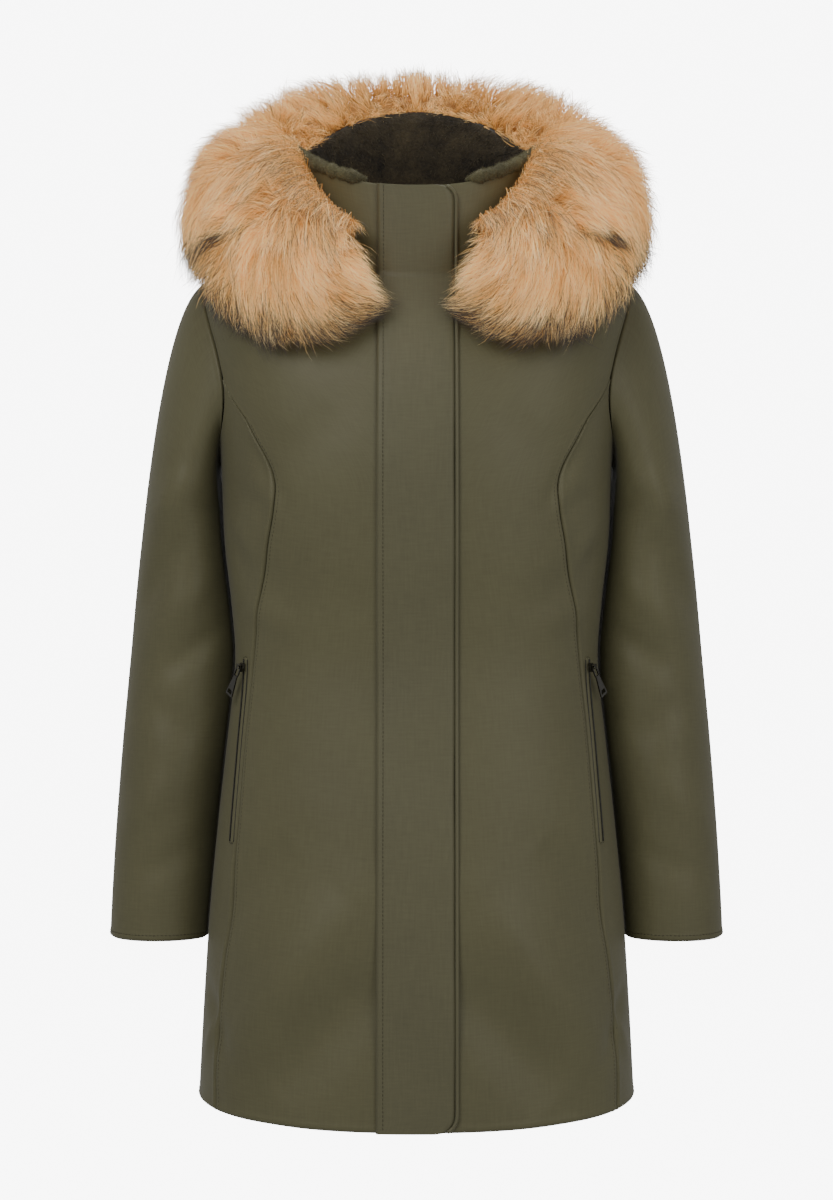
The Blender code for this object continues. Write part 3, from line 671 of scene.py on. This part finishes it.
SLEEVE_CREASES = [  # part down the sleeve, turn in degrees, to part, to turn, width, height
    (0.36, 95, 0.47, 40, 0.014, -0.0042),
    (0.42, 120, 0.52, 60, 0.014, 0.0032),
    (0.50, 130, 0.57, 70, 0.012, -0.0035),
    (0.60, 60, 0.66, 120, 0.016, -0.0029),
    (0.26, 100, 0.33, 60, 0.014, 0.0029),
    (0.70, 100, 0.78, 40, 0.018, 0.0026),
    (0.48, -60, 0.56, -130, 0.014, -0.0038),
    (0.55, -50, 0.62, -120, 0.014, 0.0032),
    (0.34, -70, 0.42, -120, 0.014, -0.0035),
    (0.80, 130, 0.86, 60, 0.014, -0.0022),
]


def make_sleeves():
    share, reach = spaced(sleeve_surface(np.linspace(0, 1, 500), np.full(500, 0.0))[None], 150)
    part = share[0][:, None] + np.zeros((1, 65))
    turn = -np.linspace(-math.pi, math.pi, 65)[None] + np.zeros((150, 1))
    flat = sleeve_surface(part, turn)
    t = np.linspace(0, 1, CREASE_POINTS)
    lines = []
    for start, turned, to, to_turned, wide, high in SLEEVE_CREASES:
        line = sleeve_surface(start + (to - start) * t, np.radians(turned + (to_turned - turned) * t))
        lines.append((line, wide, high))
    run_down, run_round = np.gradient(flat, axis=0), np.gradient(flat, axis=1)
    run_round[:, 0] = run_round[:, -1] = flat[:, 1] - flat[:, -2]
    normal = unit(np.cross(run_down, run_round))
    points = flat + normal * (rolled(reach[0])[:, None] + relief(flat, lines))[..., None]
    points[:, -1] = points[:, 0]
    hem = sleeve_surface(np.full(160, CUFF_STITCH), -np.linspace(-math.pi, math.pi, 160))
    out = unit((hem - hem.mean(0)) * np.array([1, 1, 0]))
    stitches("cuff_stitch", both_sides([(hem + out * 0.0002, out)]))
    return pair("sleeve_cloth", points, LINED, wrap=True)


# ---- hood and collar ----
def hood(step, angle):
    """Points of the hood: step 0 at the neck seam and the last at the rim, with a pouch behind."""
    start = body(np.zeros(np.shape(angle)), angle) + np.array([0, 0, SEAM])
    end = rim(angle)
    part = (step / HOOD_STEPS)[..., None]
    straight = start + (end - start) * part
    pouch = smooth(POUCH, step)
    hanging = off_body(pouch[..., 0], angle, pouch[..., 1])
    ends = (ease(0, 1, step) * ease(0, 1, HOOD_STEPS - step))[..., None]
    behind = (np.maximum(np.sin(angle), 0) ** 1.5)[..., None] * ends
    return straight + (hanging - straight) * behind


def off_hood(step, angle, off):
    turn = 0.03
    around = hood(step, angle + turn) - hood(step, angle - turn)
    up = hood(np.minimum(step + 1, HOOD_STEPS), angle) - hood(np.maximum(step - 1, 0), angle)
    return hood(step, angle) + unit(np.cross(around, up)) * np.asarray(off)[..., None]


def make_hood():
    step = np.linspace(HOOD_STEPS, 0, 49)[:, None]
    front = np.linspace(-math.pi / 2, 0.0008, 45)[None]
    angle = front + 0 * step
    reach = np.minimum(np.abs(angle + math.pi / 2), np.abs(angle)) * 0.1
    points = off_hood(step + 0 * angle, angle, rolled(reach))
    collars = pair("collar_cloth", points, LINED)
    angle = np.linspace(-0.0008, math.pi + 0.0008, 97)[None] + 0 * step
    hood_back = cloth("hood_cloth", off_hood(step + 0 * angle, angle, 0 * angle), LINED)
    angle = np.linspace(-math.pi / 2, 1.5 * math.pi, 161)[None] + 0 * step
    soft = 0.0008 * np.sin(angle * 23 + 3 * np.sin(step * 1.3)) * np.sin(step * 2.1 + angle * 5)
    points = off_hood(step + 0 * angle, angle, -CLOTH - LIFT - PLUSH + soft)
    points[:, -1] = points[:, 0]
    lining = cloth("plush_lining", points, [PILE], wrap=True, thick=PLUSH - 0.0009, side=1.0)
    return collars, hood_back, lining


# ---- storm flap ----
def front_at(place, x, off):
    """Points of the front or collar at a distance from the centre front. Rows under 0 are the collar."""
    share = np.clip(np.abs(x) / smooth(BODY, place)[..., 3], 0, 0.99)
    lower = off_body(np.maximum(place, 0), -np.arccos(share ** (FRONT_ROUND / 2)), off)
    lower[..., 0] = np.sign(x) * lower[..., 0]
    up = np.clip(-place, 0, 1)
    angle = angle_at(np.abs(x) / (RIM[0, 3] * up + BODY[0, 3] * (1 - up)))
    start, end = body(0 * place, angle), rim(angle)
    upper = start + (end - start) * up[..., None]
    upper[..., 1] -= off
    upper[..., 0] = np.sign(x) * upper[..., 0]
    return np.where((place >= 0)[..., None], lower, upper)


FLAP_CORNER = 0.016


def flap_rows():
    """Rows of the flap, how far down each is, and its whole length."""
    line = front_at(np.linspace(-1, HEM, 900), np.zeros(900), np.zeros(900))
    lengths = run_lengths(line)
    share, _ = spaced(line[None], int(lengths[-1] / STEP) + 8)
    down = np.interp(share[0], np.linspace(0, 1, 900), lengths)
    return -1 + (HEM + 1) * share[0], down, lengths[-1]


def free_edge(down, long):
    """How far the flap's free edge is from the centre front, with its corners rounded."""
    near = np.minimum(down, long - down)
    inside = np.clip(FLAP_CORNER - near, 0, FLAP_CORNER)
    return FLAP_LEFT - FLAP_CORNER + np.sqrt(FLAP_CORNER**2 - inside**2)


def make_flap():
    places, down, long = flap_rows()
    edge = free_edge(down, long)
    t = np.linspace(0, 1, 22)
    x = -FLAP_RIGHT + (edge + FLAP_RIGHT)[:, None] * t
    reach = np.minimum(x + FLAP_RIGHT, edge[:, None] - x)
    off = LIFT * 2 + FLAP_THICK - np.interp(reach, [0, 0.001, 0.003], [0.0012, 0.0003, 0])
    off = off - 0.0004 * np.exp(-(((x + FLAP_RIGHT - FLAP_STITCH) / 0.0014) ** 2))
    wave = 0.0007 * np.sin(down * 31)[:, None] * np.sin(down * 13 + 1)[:, None] * t
    points = front_at(places[:, None] + 0 * x, x, off + wave)
    flap = cloth("storm_flap_cloth", points, [FLAP], thick=FLAP_THICK - 0.0004)
    x = edge + SEAM + PIPE_WIDE / 2
    middle = front_at(places, x, np.full(len(x), LIFT * 2 + FLAP_THICK / 2 + 0.0004))
    piping = rope("flap_piping_cord", middle[2:-2], PIPE_WIDE / 2, FLAP)
    x = -FLAP_RIGHT + FLAP_STITCH + 0 * down
    seam = front_at(places, x, np.full(len(x), LIFT * 2 + FLAP_THICK - 0.0002))
    return flap, piping, seam


def rope(name, points, radius, material, sides=8):
    """A round cord along a line of points, closed at both ends."""
    run = unit(np.gradient(points, axis=0))
    side = unit(np.cross(run, np.array([0.0, -1.0, 0.0]) + 0 * run))
    out = np.cross(side, run)
    made = bmesh.new()
    rings = []
    for k, point in enumerate(points):
        ring = bmesh.ops.create_circle(made, segments=sides, radius=radius)["verts"]
        for j, vertex in enumerate(ring):
            turn = 2 * math.pi * j / sides
            vertex.co = Vector(point + radius * (side[k] * math.cos(turn) + out[k] * math.sin(turn)))
        rings.append(ring)
    for one, two in zip(rings, rings[1:]):
        for j in range(sides):
            made.faces.new((one[j], one[(j + 1) % sides], two[(j + 1) % sides], two[j]))
    made.faces.new(rings[0])
    made.faces.new(rings[-1])
    bmesh.ops.recalc_face_normals(made, faces=made.faces)
    return placed(name, mesh_of(name, made), [material])


def joined_mesh(name, points, faces, material, turned=False, **values):
    """Many small things as one mesh: the points of each, the faces of one, and values kept at each point."""
    count, each = points.shape[:2]
    faces = np.array(faces)[None] + (np.arange(count) * each)[:, None, None]
    if turned:
        faces = faces[..., ::-1]
    corners = faces.shape[2]
    mesh = bpy.data.meshes.new(name)
    mesh.vertices.add(count * each)
    mesh.vertices.foreach_set("co", points.astype(np.float32).ravel())
    mesh.loops.add(faces.size)
    mesh.loops.foreach_set("vertex_index", faces.astype(np.int32).ravel())
    mesh.polygons.add(faces.size // corners)
    mesh.polygons.foreach_set("loop_start", np.arange(0, faces.size, corners, dtype=np.int32))
    mesh.polygons.foreach_set("loop_total", np.full(faces.size // corners, corners, np.int32))
    mesh.update(calc_edges=True)
    for key, value in values.items():
        made = mesh.attributes.new(key, "FLOAT", "POINT")
        made.data.foreach_set("value", value.astype(np.float32).ravel())
    return placed(name, mesh, [material])


def at_run(run, line, at):
    """Points of a line at distances along it."""
    return np.stack([np.interp(at, run, line[:, k]) for k in range(3)], 1)


def stitches(name, lines):
    """Running stitches along lines that come with the cloth's normal, each a small four-sided bead."""
    centres, runs, ups = [], [], []
    for line, out in lines:
        run = run_lengths(line)
        at = np.arange(STITCH_LONG, run[-1] - STITCH_LONG, STITCH_LONG + STITCH_GAP)
        centres.append(at_run(run, line, at))
        runs.append(unit(at_run(run, line, at + 0.001) - centres[-1]))
        ups.append(at_run(run, out, at))
    centres, runs, ups = np.concatenate(centres), np.concatenate(runs), unit(np.concatenate(ups))
    sides = np.cross(runs, ups)
    points = []
    for along, wide in ((-0.5, 0.35), (-0.25, 1.0), (0.25, 1.0), (0.5, 0.35)):
        for a, b in ((1, 0), (0, 1), (-1, 0), (0, -1)):
            points.append(
                centres + runs * STITCH_LONG * along
                + sides * a * STITCH_WIDE / 2 * wide + ups * (b * 0.4 * wide + 0.1) * STITCH_WIDE
            )
    faces = []
    for k in range(12):
        after = k + 1 if k % 4 < 3 else k - 3
        faces.append((k, after, after + 4, k + 4))
    return joined_mesh(name, np.stack(points, 1), faces + [(3, 2, 1, 0), (12, 13, 14, 15)], THREAD)


def both_sides(lines):
    return lines + [(line * FLIP, out * FLIP) for line, out in lines]


# ---- fur ----
HAIRS = 25000  # in each quarter of the trim
HAIR_WIDE = 0.00054
PELT = 0.52  # reach of the pelt under the hair, as a share of the hair's reach


def fur_point(place, turn, share):
    """Points of the trim: a D-shaped section at each place, from turn 0 at its outer edge."""
    row = smooth(FUR, place)
    run = smooth(FUR, place + 0.15) - smooth(FUR, place - 0.15)
    inner, outer = row[..., :3], row[..., 3:6]
    across = (outer - inner) / 2
    off = unit(np.cross(across, run[..., :3] + run[..., 3:6])) * row[..., 6:7]
    c, s = np.cos(turn)[..., None], np.sin(turn)[..., None]
    share = np.asarray(share)[..., None]
    return (inner + outer) / 2 + (across * c + off * np.where(s > 0, s, 0.18 * s)) * share


def pelt_share(turn):
    """Reach of the pelt under the hair: sewn to the hood's rim at its inner edge, and deeper elsewhere."""
    return PELT + (1.0 - PELT) * ease(2.0, 3.1, turn)


def hair_tips(place, turn, reach):
    """Where hair from a root ends: swept from the inner edge to the outer, and fanned at the front end."""
    standing = ease(3.6, 5.6, place)
    inner = ease(1.5, 2.9, turn)
    swept = turn - np.radians(40 - 22 * standing) * np.sin(np.clip(turn, 0, math.pi)) ** 0.5 - 0.06
    still = 1 - ease(6.0, 7.0, place)
    swirl = 0.16 * np.sin(place * 4.1 + turn * 2.0) + 0.12 * np.sin(place * 9.0 - turn * 3.1 + 1.0)
    fanned = place - 0.95 * (1 - ease(0.7, 2.3, place)) * (1 - 0.85 * inner)
    fanned = fanned + swirl * (1 - 0.5 * standing) * still
    corner = 1 - 0.20 * (1 - ease(-0.3, 0.8, fanned)) * np.cos(swept) ** 2
    ended = fur_point(fanned, swept + 1.3 * swirl, reach * corner)
    past = fur_point(0 * place, swept, reach) - fur_point(0 * place + 0.2, swept, reach)
    return ended + past * (np.maximum(-fanned, 0) * (1.5 + 3.5 * np.clip(np.sin(turn), 0, 1)))[:, None]


# x and z of both ends of the dark hair on each side
STREAKS = {1: ((0.116, -0.020), (0.222, -0.024)), -1: ((0.159, -0.013), (0.224, -0.034))}


def near_streak(points, sign):
    """How near hair on the front is to the dark streak that runs out across it on one side."""
    start, end = (np.array(p) for p in STREAKS[sign])
    flat = points[:, [0, 2]]
    t = np.clip((flat - start) @ (end - start) / ((end - start) @ (end - start)), 0, 1)
    far = np.linalg.norm(flat - start - t[:, None] * (end - start), axis=1)
    wander = 0.004 * np.sin(t * 9)
    return np.exp(-(((far + wander) / 0.0045) ** 2))


def fur_piece(name, sign, first, end):
    count = HAIRS
    place = first + (end - first) * rng.random(count)
    turn = np.radians(-14 + 208 * rng.random(count) ** 0.94)
    # locks: strands near each other lean to one shared tip
    along_cells, round_cells = 19 * (end - first), 19
    cell = np.floor((place - first) / (end - first) * along_cells + 0.5 * np.sin(turn * 9))
    cell += 1000 * np.floor(turn / math.pi * round_cells + 0.5 * np.sin(place * 23))
    _, lock = np.unique(cell, return_inverse=True)
    size = np.bincount(lock)
    locks = len(size)
    centre = np.bincount(lock, place) / size
    lock_place = centre + 0.17 * rng.normal(size=locks) * (1 - ease(6.4, 7.0, centre))
    lock_turn = np.bincount(lock, turn) / size + 0.20 * rng.normal(size=locks)
    standing = ease(3.6, 5.6, place)
    rear = ease(3.6, 5.6, centre)
    lock_reach = 0.90 + 0.16 * rng.random(locks) + 0.10 * (rng.random(locks) < 0.15) + 0.10 * rear
    root = fur_point(place, turn, pelt_share(turn))
    tip = hair_tips(place, turn, 0.80 + 0.26 * rng.random(count) + 0.14 * standing)
    shared = hair_tips(lock_place, lock_turn, lock_reach)[lock]
    tip = tip + (shared - tip) * (0.30 + 0.62 * rng.random(count) ** 0.6)[:, None]
    tip = tip + 0.0030 * rng.normal(size=(count, 3))
    guard = (np.cos(turn) > 0.45) & (place < 4.6) & (rng.random(count) < 0.22)
    tip = tip + (tip - root) * (guard * (0.10 + 0.16 * rng.random(count)))[:, None]
    inward = (turn > 2.55) & (place < 3.3) & (rng.random(count) < 0.5)
    over = fur_point(place, math.pi - 1.1 * rng.random(count), 1.02 + 0.16 * rng.random(count))
    tip = np.where(inward[:, None], over, tip)
    out = unit(fur_point(place, turn, np.full(count, 1.0)) - fur_point(place, turn, np.full(count, 0.4)))
    long = np.linalg.norm(tip - root, axis=1, keepdims=True)
    bend = root + out * long * 0.40 + (tip - root) * 0.2 + long * 0.11 * rng.normal(size=(count, 3))
    t = np.array([0.08, 0.42, 0.76, 1.0])
    line = [(1 - a) ** 2 * root + 2 * a * (1 - a) * bend + a * a * tip for a in t]
    side = unit(np.cross(tip - root, out + 0.5 * rng.normal(size=(count, 3))))
    wide = HAIR_WIDE * (0.55 + 0.85 * rng.random(count))
    points = []
    for k, share in enumerate((0.8, 1.0, 0.6)):
        half = side * (wide * share)[:, None] / 2
        points += [line[k] - half, line[k] + half]
    points = np.stack(points + [line[3]], 1)
    points[..., 0] *= sign
    faces = [(0, 1, 3), (0, 3, 2), (2, 3, 5), (2, 5, 4), (4, 5, 6)]
    along = np.tile(t[[0, 0, 1, 1, 2, 2, 3]], (count, 1))
    tone = np.repeat((0.4 * rng.random(count) + 0.6 * rng.random(locks)[lock])[:, None], 7, 1)
    outer = np.clip(np.cos(turn), 0, 1) ** 1.5 * (1 - ease(3.8, 5.2, place))
    inner = np.clip(-np.cos(turn), 0, 1) ** 3 * (1 - ease(2.6, 3.6, place))
    streak = near_streak(line[2], sign) * (line[2][:, 1] < 0.03) * (turn > 0.1)
    smoky = guard | (rng.random(count) < 0.05 + 0.55 * outer + 0.40 * inner + streak)
    early = (streak > 0.3) | guard
    dark = smoky[:, None] * np.where(early[:, None], ease(0.0, 0.6, along), ease(0.3, 0.8, along))
    return joined_mesh(name, points, faces, HAIR, sign < 0, along=along, tone=tone, smoke=dark)


def make_fur():
    hair = []
    for side, sign in (("left", 1), ("right", -1)):
        hair.append(fur_piece(f"fur_front_{side}", sign, 0.75, 2.9))
        hair.append(fur_piece(f"fur_back_{side}", sign, 2.9, FUR_END + 0.05))
    place = np.concatenate([np.linspace(0.7, FUR_END, 70), np.linspace(FUR_END, 0.7, 70)[1:]])[:, None]
    turn = np.linspace(-0.3, 2 * math.pi - 0.3, 33)[None]
    share = np.where(turn < math.pi, pelt_share(turn), pelt_share(2 * math.pi - turn))
    points = fur_point(place + 0 * turn, turn + 0 * place, share + 0 * place)
    points[70:, :, 0] *= -1
    points[:, -1] = points[:, 0]
    pelt = cloth("fur_pelt", points, [PELT_BACK], wrap=True, thick=0.0012)
    return pelt, hair


def pile(name, points, ups, lean, long, wide, material, tone):
    """Short pile: a strand of two steps at each point, standing up and leaning."""
    count = len(points)
    up = unit(ups + lean + 0.35 * rng.normal(size=(count, 3)))
    side = unit(np.cross(up, rng.normal(size=(count, 3)))) * wide / 2
    high = long * (0.7 + 0.5 * rng.random(count))[:, None]
    middle = points + ups * high * 0.5
    tip = points + up * high
    made = np.stack([points - side, points + side, middle - side * 0.8, middle + side * 0.8, tip], 1)
    along = np.tile(np.array([0.0, 0.0, 0.5, 0.5, 1.0]), (count, 1))
    tone = np.repeat(tone[:, None], 5, 1)
    return joined_mesh(name, made, [(0, 1, 3), (0, 3, 2), (2, 3, 4)], material, along=along, tone=tone)


# ---- stage ----
def area_light(name, place, target, size, power):
    data = bpy.data.lights.new(name, "AREA")
    data.shape = "RECTANGLE"
    data.size, data.size_y = size
    data.energy = power
    lamp = bpy.data.objects.new(name, data)
    lamp.location = place
    lamp.rotation_euler = (Vector(target) - Vector(place)).to_track_quat("-Z", "Y").to_euler()
    bpy.context.scene.collection.objects.link(lamp)


def make_stage():
    """A pale floor that curves up into a round wall, far enough out to see the coat from any side."""
    floor, far, bend, high = -1.25, 9.0, 2.5, 9.0
    profile = [(0.0, floor), (4.0, floor)]
    profile += [(far - bend + bend * math.sin(a), floor + bend - bend * math.cos(a))
                for a in np.linspace(0, math.pi / 2, 9)]
    profile = np.array(profile + [(far, high)])
    made = bmesh.new()
    bmesh.ops.create_grid(made, x_segments=64, y_segments=len(profile) - 1, size=0.5)
    for vertex in made.verts:
        out, up = profile[round((vertex.co.y + 0.5) * (len(profile) - 1))]
        turn = 2 * math.pi * (0.5 - vertex.co.x)
        vertex.co = (out * math.cos(turn), out * math.sin(turn), up)
    bmesh.ops.remove_doubles(made, verts=made.verts, dist=1e-5)
    mesh = mesh_of("studio floor and wall", made)
    mesh.shade_smooth()
    material, _ = new_material("matt white studio paper", Roughness=0.9, Base_Color=linear("#f4f4f4"),
                               Emission_Color=(1, 1, 1, 1), Emission_Strength=PAPER_GLOW)
    mesh.materials.append(material)
    sweep = bpy.data.objects.new("studio floor and wall", mesh)
    sweep.visible_diffuse = sweep.visible_glossy = sweep.visible_shadow = False
    bpy.context.scene.collection.objects.link(sweep)
    world = bpy.context.scene.world or bpy.data.worlds.new("studio")
    bpy.context.scene.world = world
    world.use_nodes = True
    sky = world.node_tree.nodes["Background"].inputs
    sky[0].default_value, sky[1].default_value = (1, 1, 1, 1), 0.35
    area_light("key softbox", (-1.3, -2.6, 1.3), (0, 0, -0.3), (1.4, 1.4), 38)
    area_light("fill softbox", (1.9, -2.4, 0.5), (0, 0, -0.35), (1.4, 1.8), 18)
    area_light("top softbox", (0.0, 0.2, 1.8), (0, 0, 0), (1.2, 1.0), 16)


CAMERA_FAR = 2.2
FRAME_HIGH = 1.14  # what the picture takes in at that distance


def make_camera():
    data = bpy.data.cameras.new("camera")
    data.lens = 36 * CAMERA_FAR / FRAME_HIGH
    camera = bpy.data.objects.new("camera", data)
    camera.location = (0, -CAMERA_FAR, -0.345)
    camera.rotation_euler = (math.pi / 2, 0, 0)
    bpy.context.scene.collection.objects.link(camera)
    bpy.context.scene.camera = camera


# ---- seams ----
def princess_line(distance):
    """A line on the body beside the princess seam, and the cloth's normal along it."""
    place = np.linspace(PRINCESS_CLEAR, HEM - 0.02, 160)
    angle = gap(place, front_seam(place), distance)
    return off_body(place, angle, 0.0001 + relief(body(place, angle), BODY_LINES)), body_normal(place, angle)


def make_seams(flap_seam):
    stitches("princess_topstitch", both_sides([princess_line(distance) for distance in PRINCESS_STITCHES]))
    return stitches("flap_topstitch", [(flap_seam, np.tile(np.array([0.0, -1.0, 0.0]), (len(flap_seam), 1)))])


# ---- pocket zips ----
def pocket_line(first, last, across, off, count=90):
    """A line along the pocket, from 0 at its top to 1, across towards the side, and the cloth's normal."""
    down = np.linspace(first, last, count)
    share = POCKET_SHARE_TOP + (POCKET_SHARE_BOTTOM - POCKET_SHARE_TOP) * down
    angle = angle_at(share)
    place = place_at(POCKET_TOP + (POCKET_BOTTOM - POCKET_TOP) * down, angle)
    angle = gap(place, angle, across)
    return off_body(place, angle, np.full(count, off)), body_normal(place, angle)


def cord_pair(name, line, radius):
    return [rope(name + "_left", line, radius, ZIP_COIL_AND_SHADE, 6), rope(name + "_right", line * FLIP, radius, ZIP_COIL_AND_SHADE, 6)]


def make_pockets():
    half = WELT_WIDE / 2
    crown = ((-half, -0.0004), (-half * 0.82, 0.0005), (-half * 0.4, 0.0009), (half * 0.4, 0.0009),
             (half * 0.82, 0.0005), (half, -0.0004))
    points = np.stack([pocket_line(-0.01, 1.01, across, off + 0.0002)[0] for across, off in crown], 1)
    welts = pair("pocket_welt_cloth", points, [SHELL])
    coils = cord_pair("zip_coil", pocket_line(0.0, 1.0, half + SEAM + CHAIN_WIDE / 2, 0.0009)[0], 0.0007)
    # a dark cord along the welt's other edge: painted shadow of the welt's fold
    cord_pair("zip_tape", pocket_line(0.0, 1.0, -half - 0.0003, 0.0004)[0], 0.0005)
    bars = []
    for end, tilt in ((1.006, 0.0), (-0.020, 0.018)):
        one, out = pocket_line(end, end, -half * 1.3, 0.0012, 1)
        two, _ = pocket_line(end + tilt, end + tilt, half + SEAM + CHAIN_WIDE * 1.6, 0.0012, 1)
        bars.append((np.concatenate([one, (one + two) / 2 + out * 0.0004, two]), np.repeat(out, 3, 0)))
    stitches("pocket_tacks", both_sides(bars))
    return welts, coils


# ---- plush edge ----
def plush_roll(name, sign):
    """The plush turned over the collar's top edge, in soft uneven gathers."""
    angle = np.linspace(-math.pi / 2 + 0.34, -0.06, 70)
    edge = rim(angle)
    inside = unit(edge * np.array([1, 1, 0]))
    gather = 0.0006 * np.sin(angle * 34 + 0.7) + 0.0005 * np.sin(angle * 61)
    middle = edge - inside * 0.0022 + np.array([0, 0, 0.0022])
    ends = ease(0, 5, np.arange(70)) * ease(0, 5, np.arange(69, -1, -1))
    radius = 0.0005 + (0.0046 + gather) * ends
    rings = []
    for turn in np.linspace(0, 2 * math.pi, 13):
        rings.append(middle + radius[:, None] * (inside * math.cos(turn) + UP * math.sin(turn)))
    points = np.stack(rings, 1)
    points[:, -1] = points[:, 0]
    points[..., 0] *= sign
    if sign > 0:
        points = points[:, ::-1]
    roll = cloth(name, points, [ROLL_PILE], wrap=True, thick=0.001)
    count = 6500
    k, turn = rng.random(count) * 68.99, rng.random(count) * 2 * math.pi
    at, face = at_run(np.arange(70), middle, k), at_run(np.arange(70), inside, k)
    ups = face * np.cos(turn)[:, None] + UP * np.sin(turn)[:, None]
    base = at + ups * np.interp(k, np.arange(70), radius)[:, None] * 0.96
    base[:, 0] *= sign
    ups[:, 0] *= sign
    tone = 0.4 + 0.6 * rng.random(count)
    fluff = pile(name + "_pile", base, ups, np.array([0, 0, 0.2]), 0.0030, 0.00035, ROLL_HAIR, tone)
    return roll, fluff


def lining_pile():
    """Pile standing on the hood lining, parted and swirled in patches."""
    count = 22000
    step = 2.6 + (HOOD_STEPS - 2.6) * rng.random(count)
    angle = -math.pi / 2 + 2 * math.pi * rng.random(count)
    base = off_hood(step, angle, np.full(count, -CLOTH - LIFT - PLUSH + 0.0004))
    out = off_hood(step, angle, np.full(count, 0.0))
    ups = -unit(out - base)
    patch = np.sin(base[:, 0] * 95 + 2 * np.sin(base[:, 2] * 80)) * np.sin(base[:, 2] * 110 + base[:, 1] * 60)
    lean = np.stack([0.5 * patch, 0 * patch, -0.5 + 0.4 * np.roll(patch, 1)], 1)
    tone = np.clip(0.35 + 0.3 * patch + 0.35 * rng.random(count), 0, 1)
    return pile("plush_lining_pile", base, ups, lean, 0.0062, 0.0006, PILE_HAIR, tone)


def main():
    fronts, sides, back = make_body()
    sleeves = make_sleeves()
    collars, hood_back, lining = make_hood()
    flap, piping, flap_seam = make_flap()
    pelt, hair = make_fur()
    rolls = [plush_roll("plush_edge_left", 1), plush_roll("plush_edge_right", -1)]
    standing = lining_pile()
    welts, coils = make_pockets()
    topstitch = make_seams(flap_seam)
    for (left, right), node in ((fronts, "front"), (sides, "side_front"), (sleeves, "sleeve"),
                                (collars, "collar"), (welts, "pocket_welt"), (coils, "pocket_zip")):
        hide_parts(node + "_left")
        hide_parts(node + "_right")
    for piece, node in ((back, "back"), (hood_back, "hood_shell"), (lining, "hood_lining"),
                        (flap, "storm_flap"), (piping, "flap_piping"), (pelt, "fur_trim")):
        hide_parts(node)
    for piece in [*fronts, *sides, back, *sleeves, *collars, hood_back]:
        declare(piece)
    declare(lining)
    declare(flap)
    declare(pelt)
    for roll, fluff in rolls:
        declare(roll)
    for welt in welts:
        del welt["cut"]  # too narrow to be a sheet of its own
    for name in ("zip_slider_left", "zip_slider_right", "zip_pull_left", "zip_pull_right"):
        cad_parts[name].data.materials.clear()
        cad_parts[name].data.materials.append(METAL)
    make_stage()
    make_camera()


main()
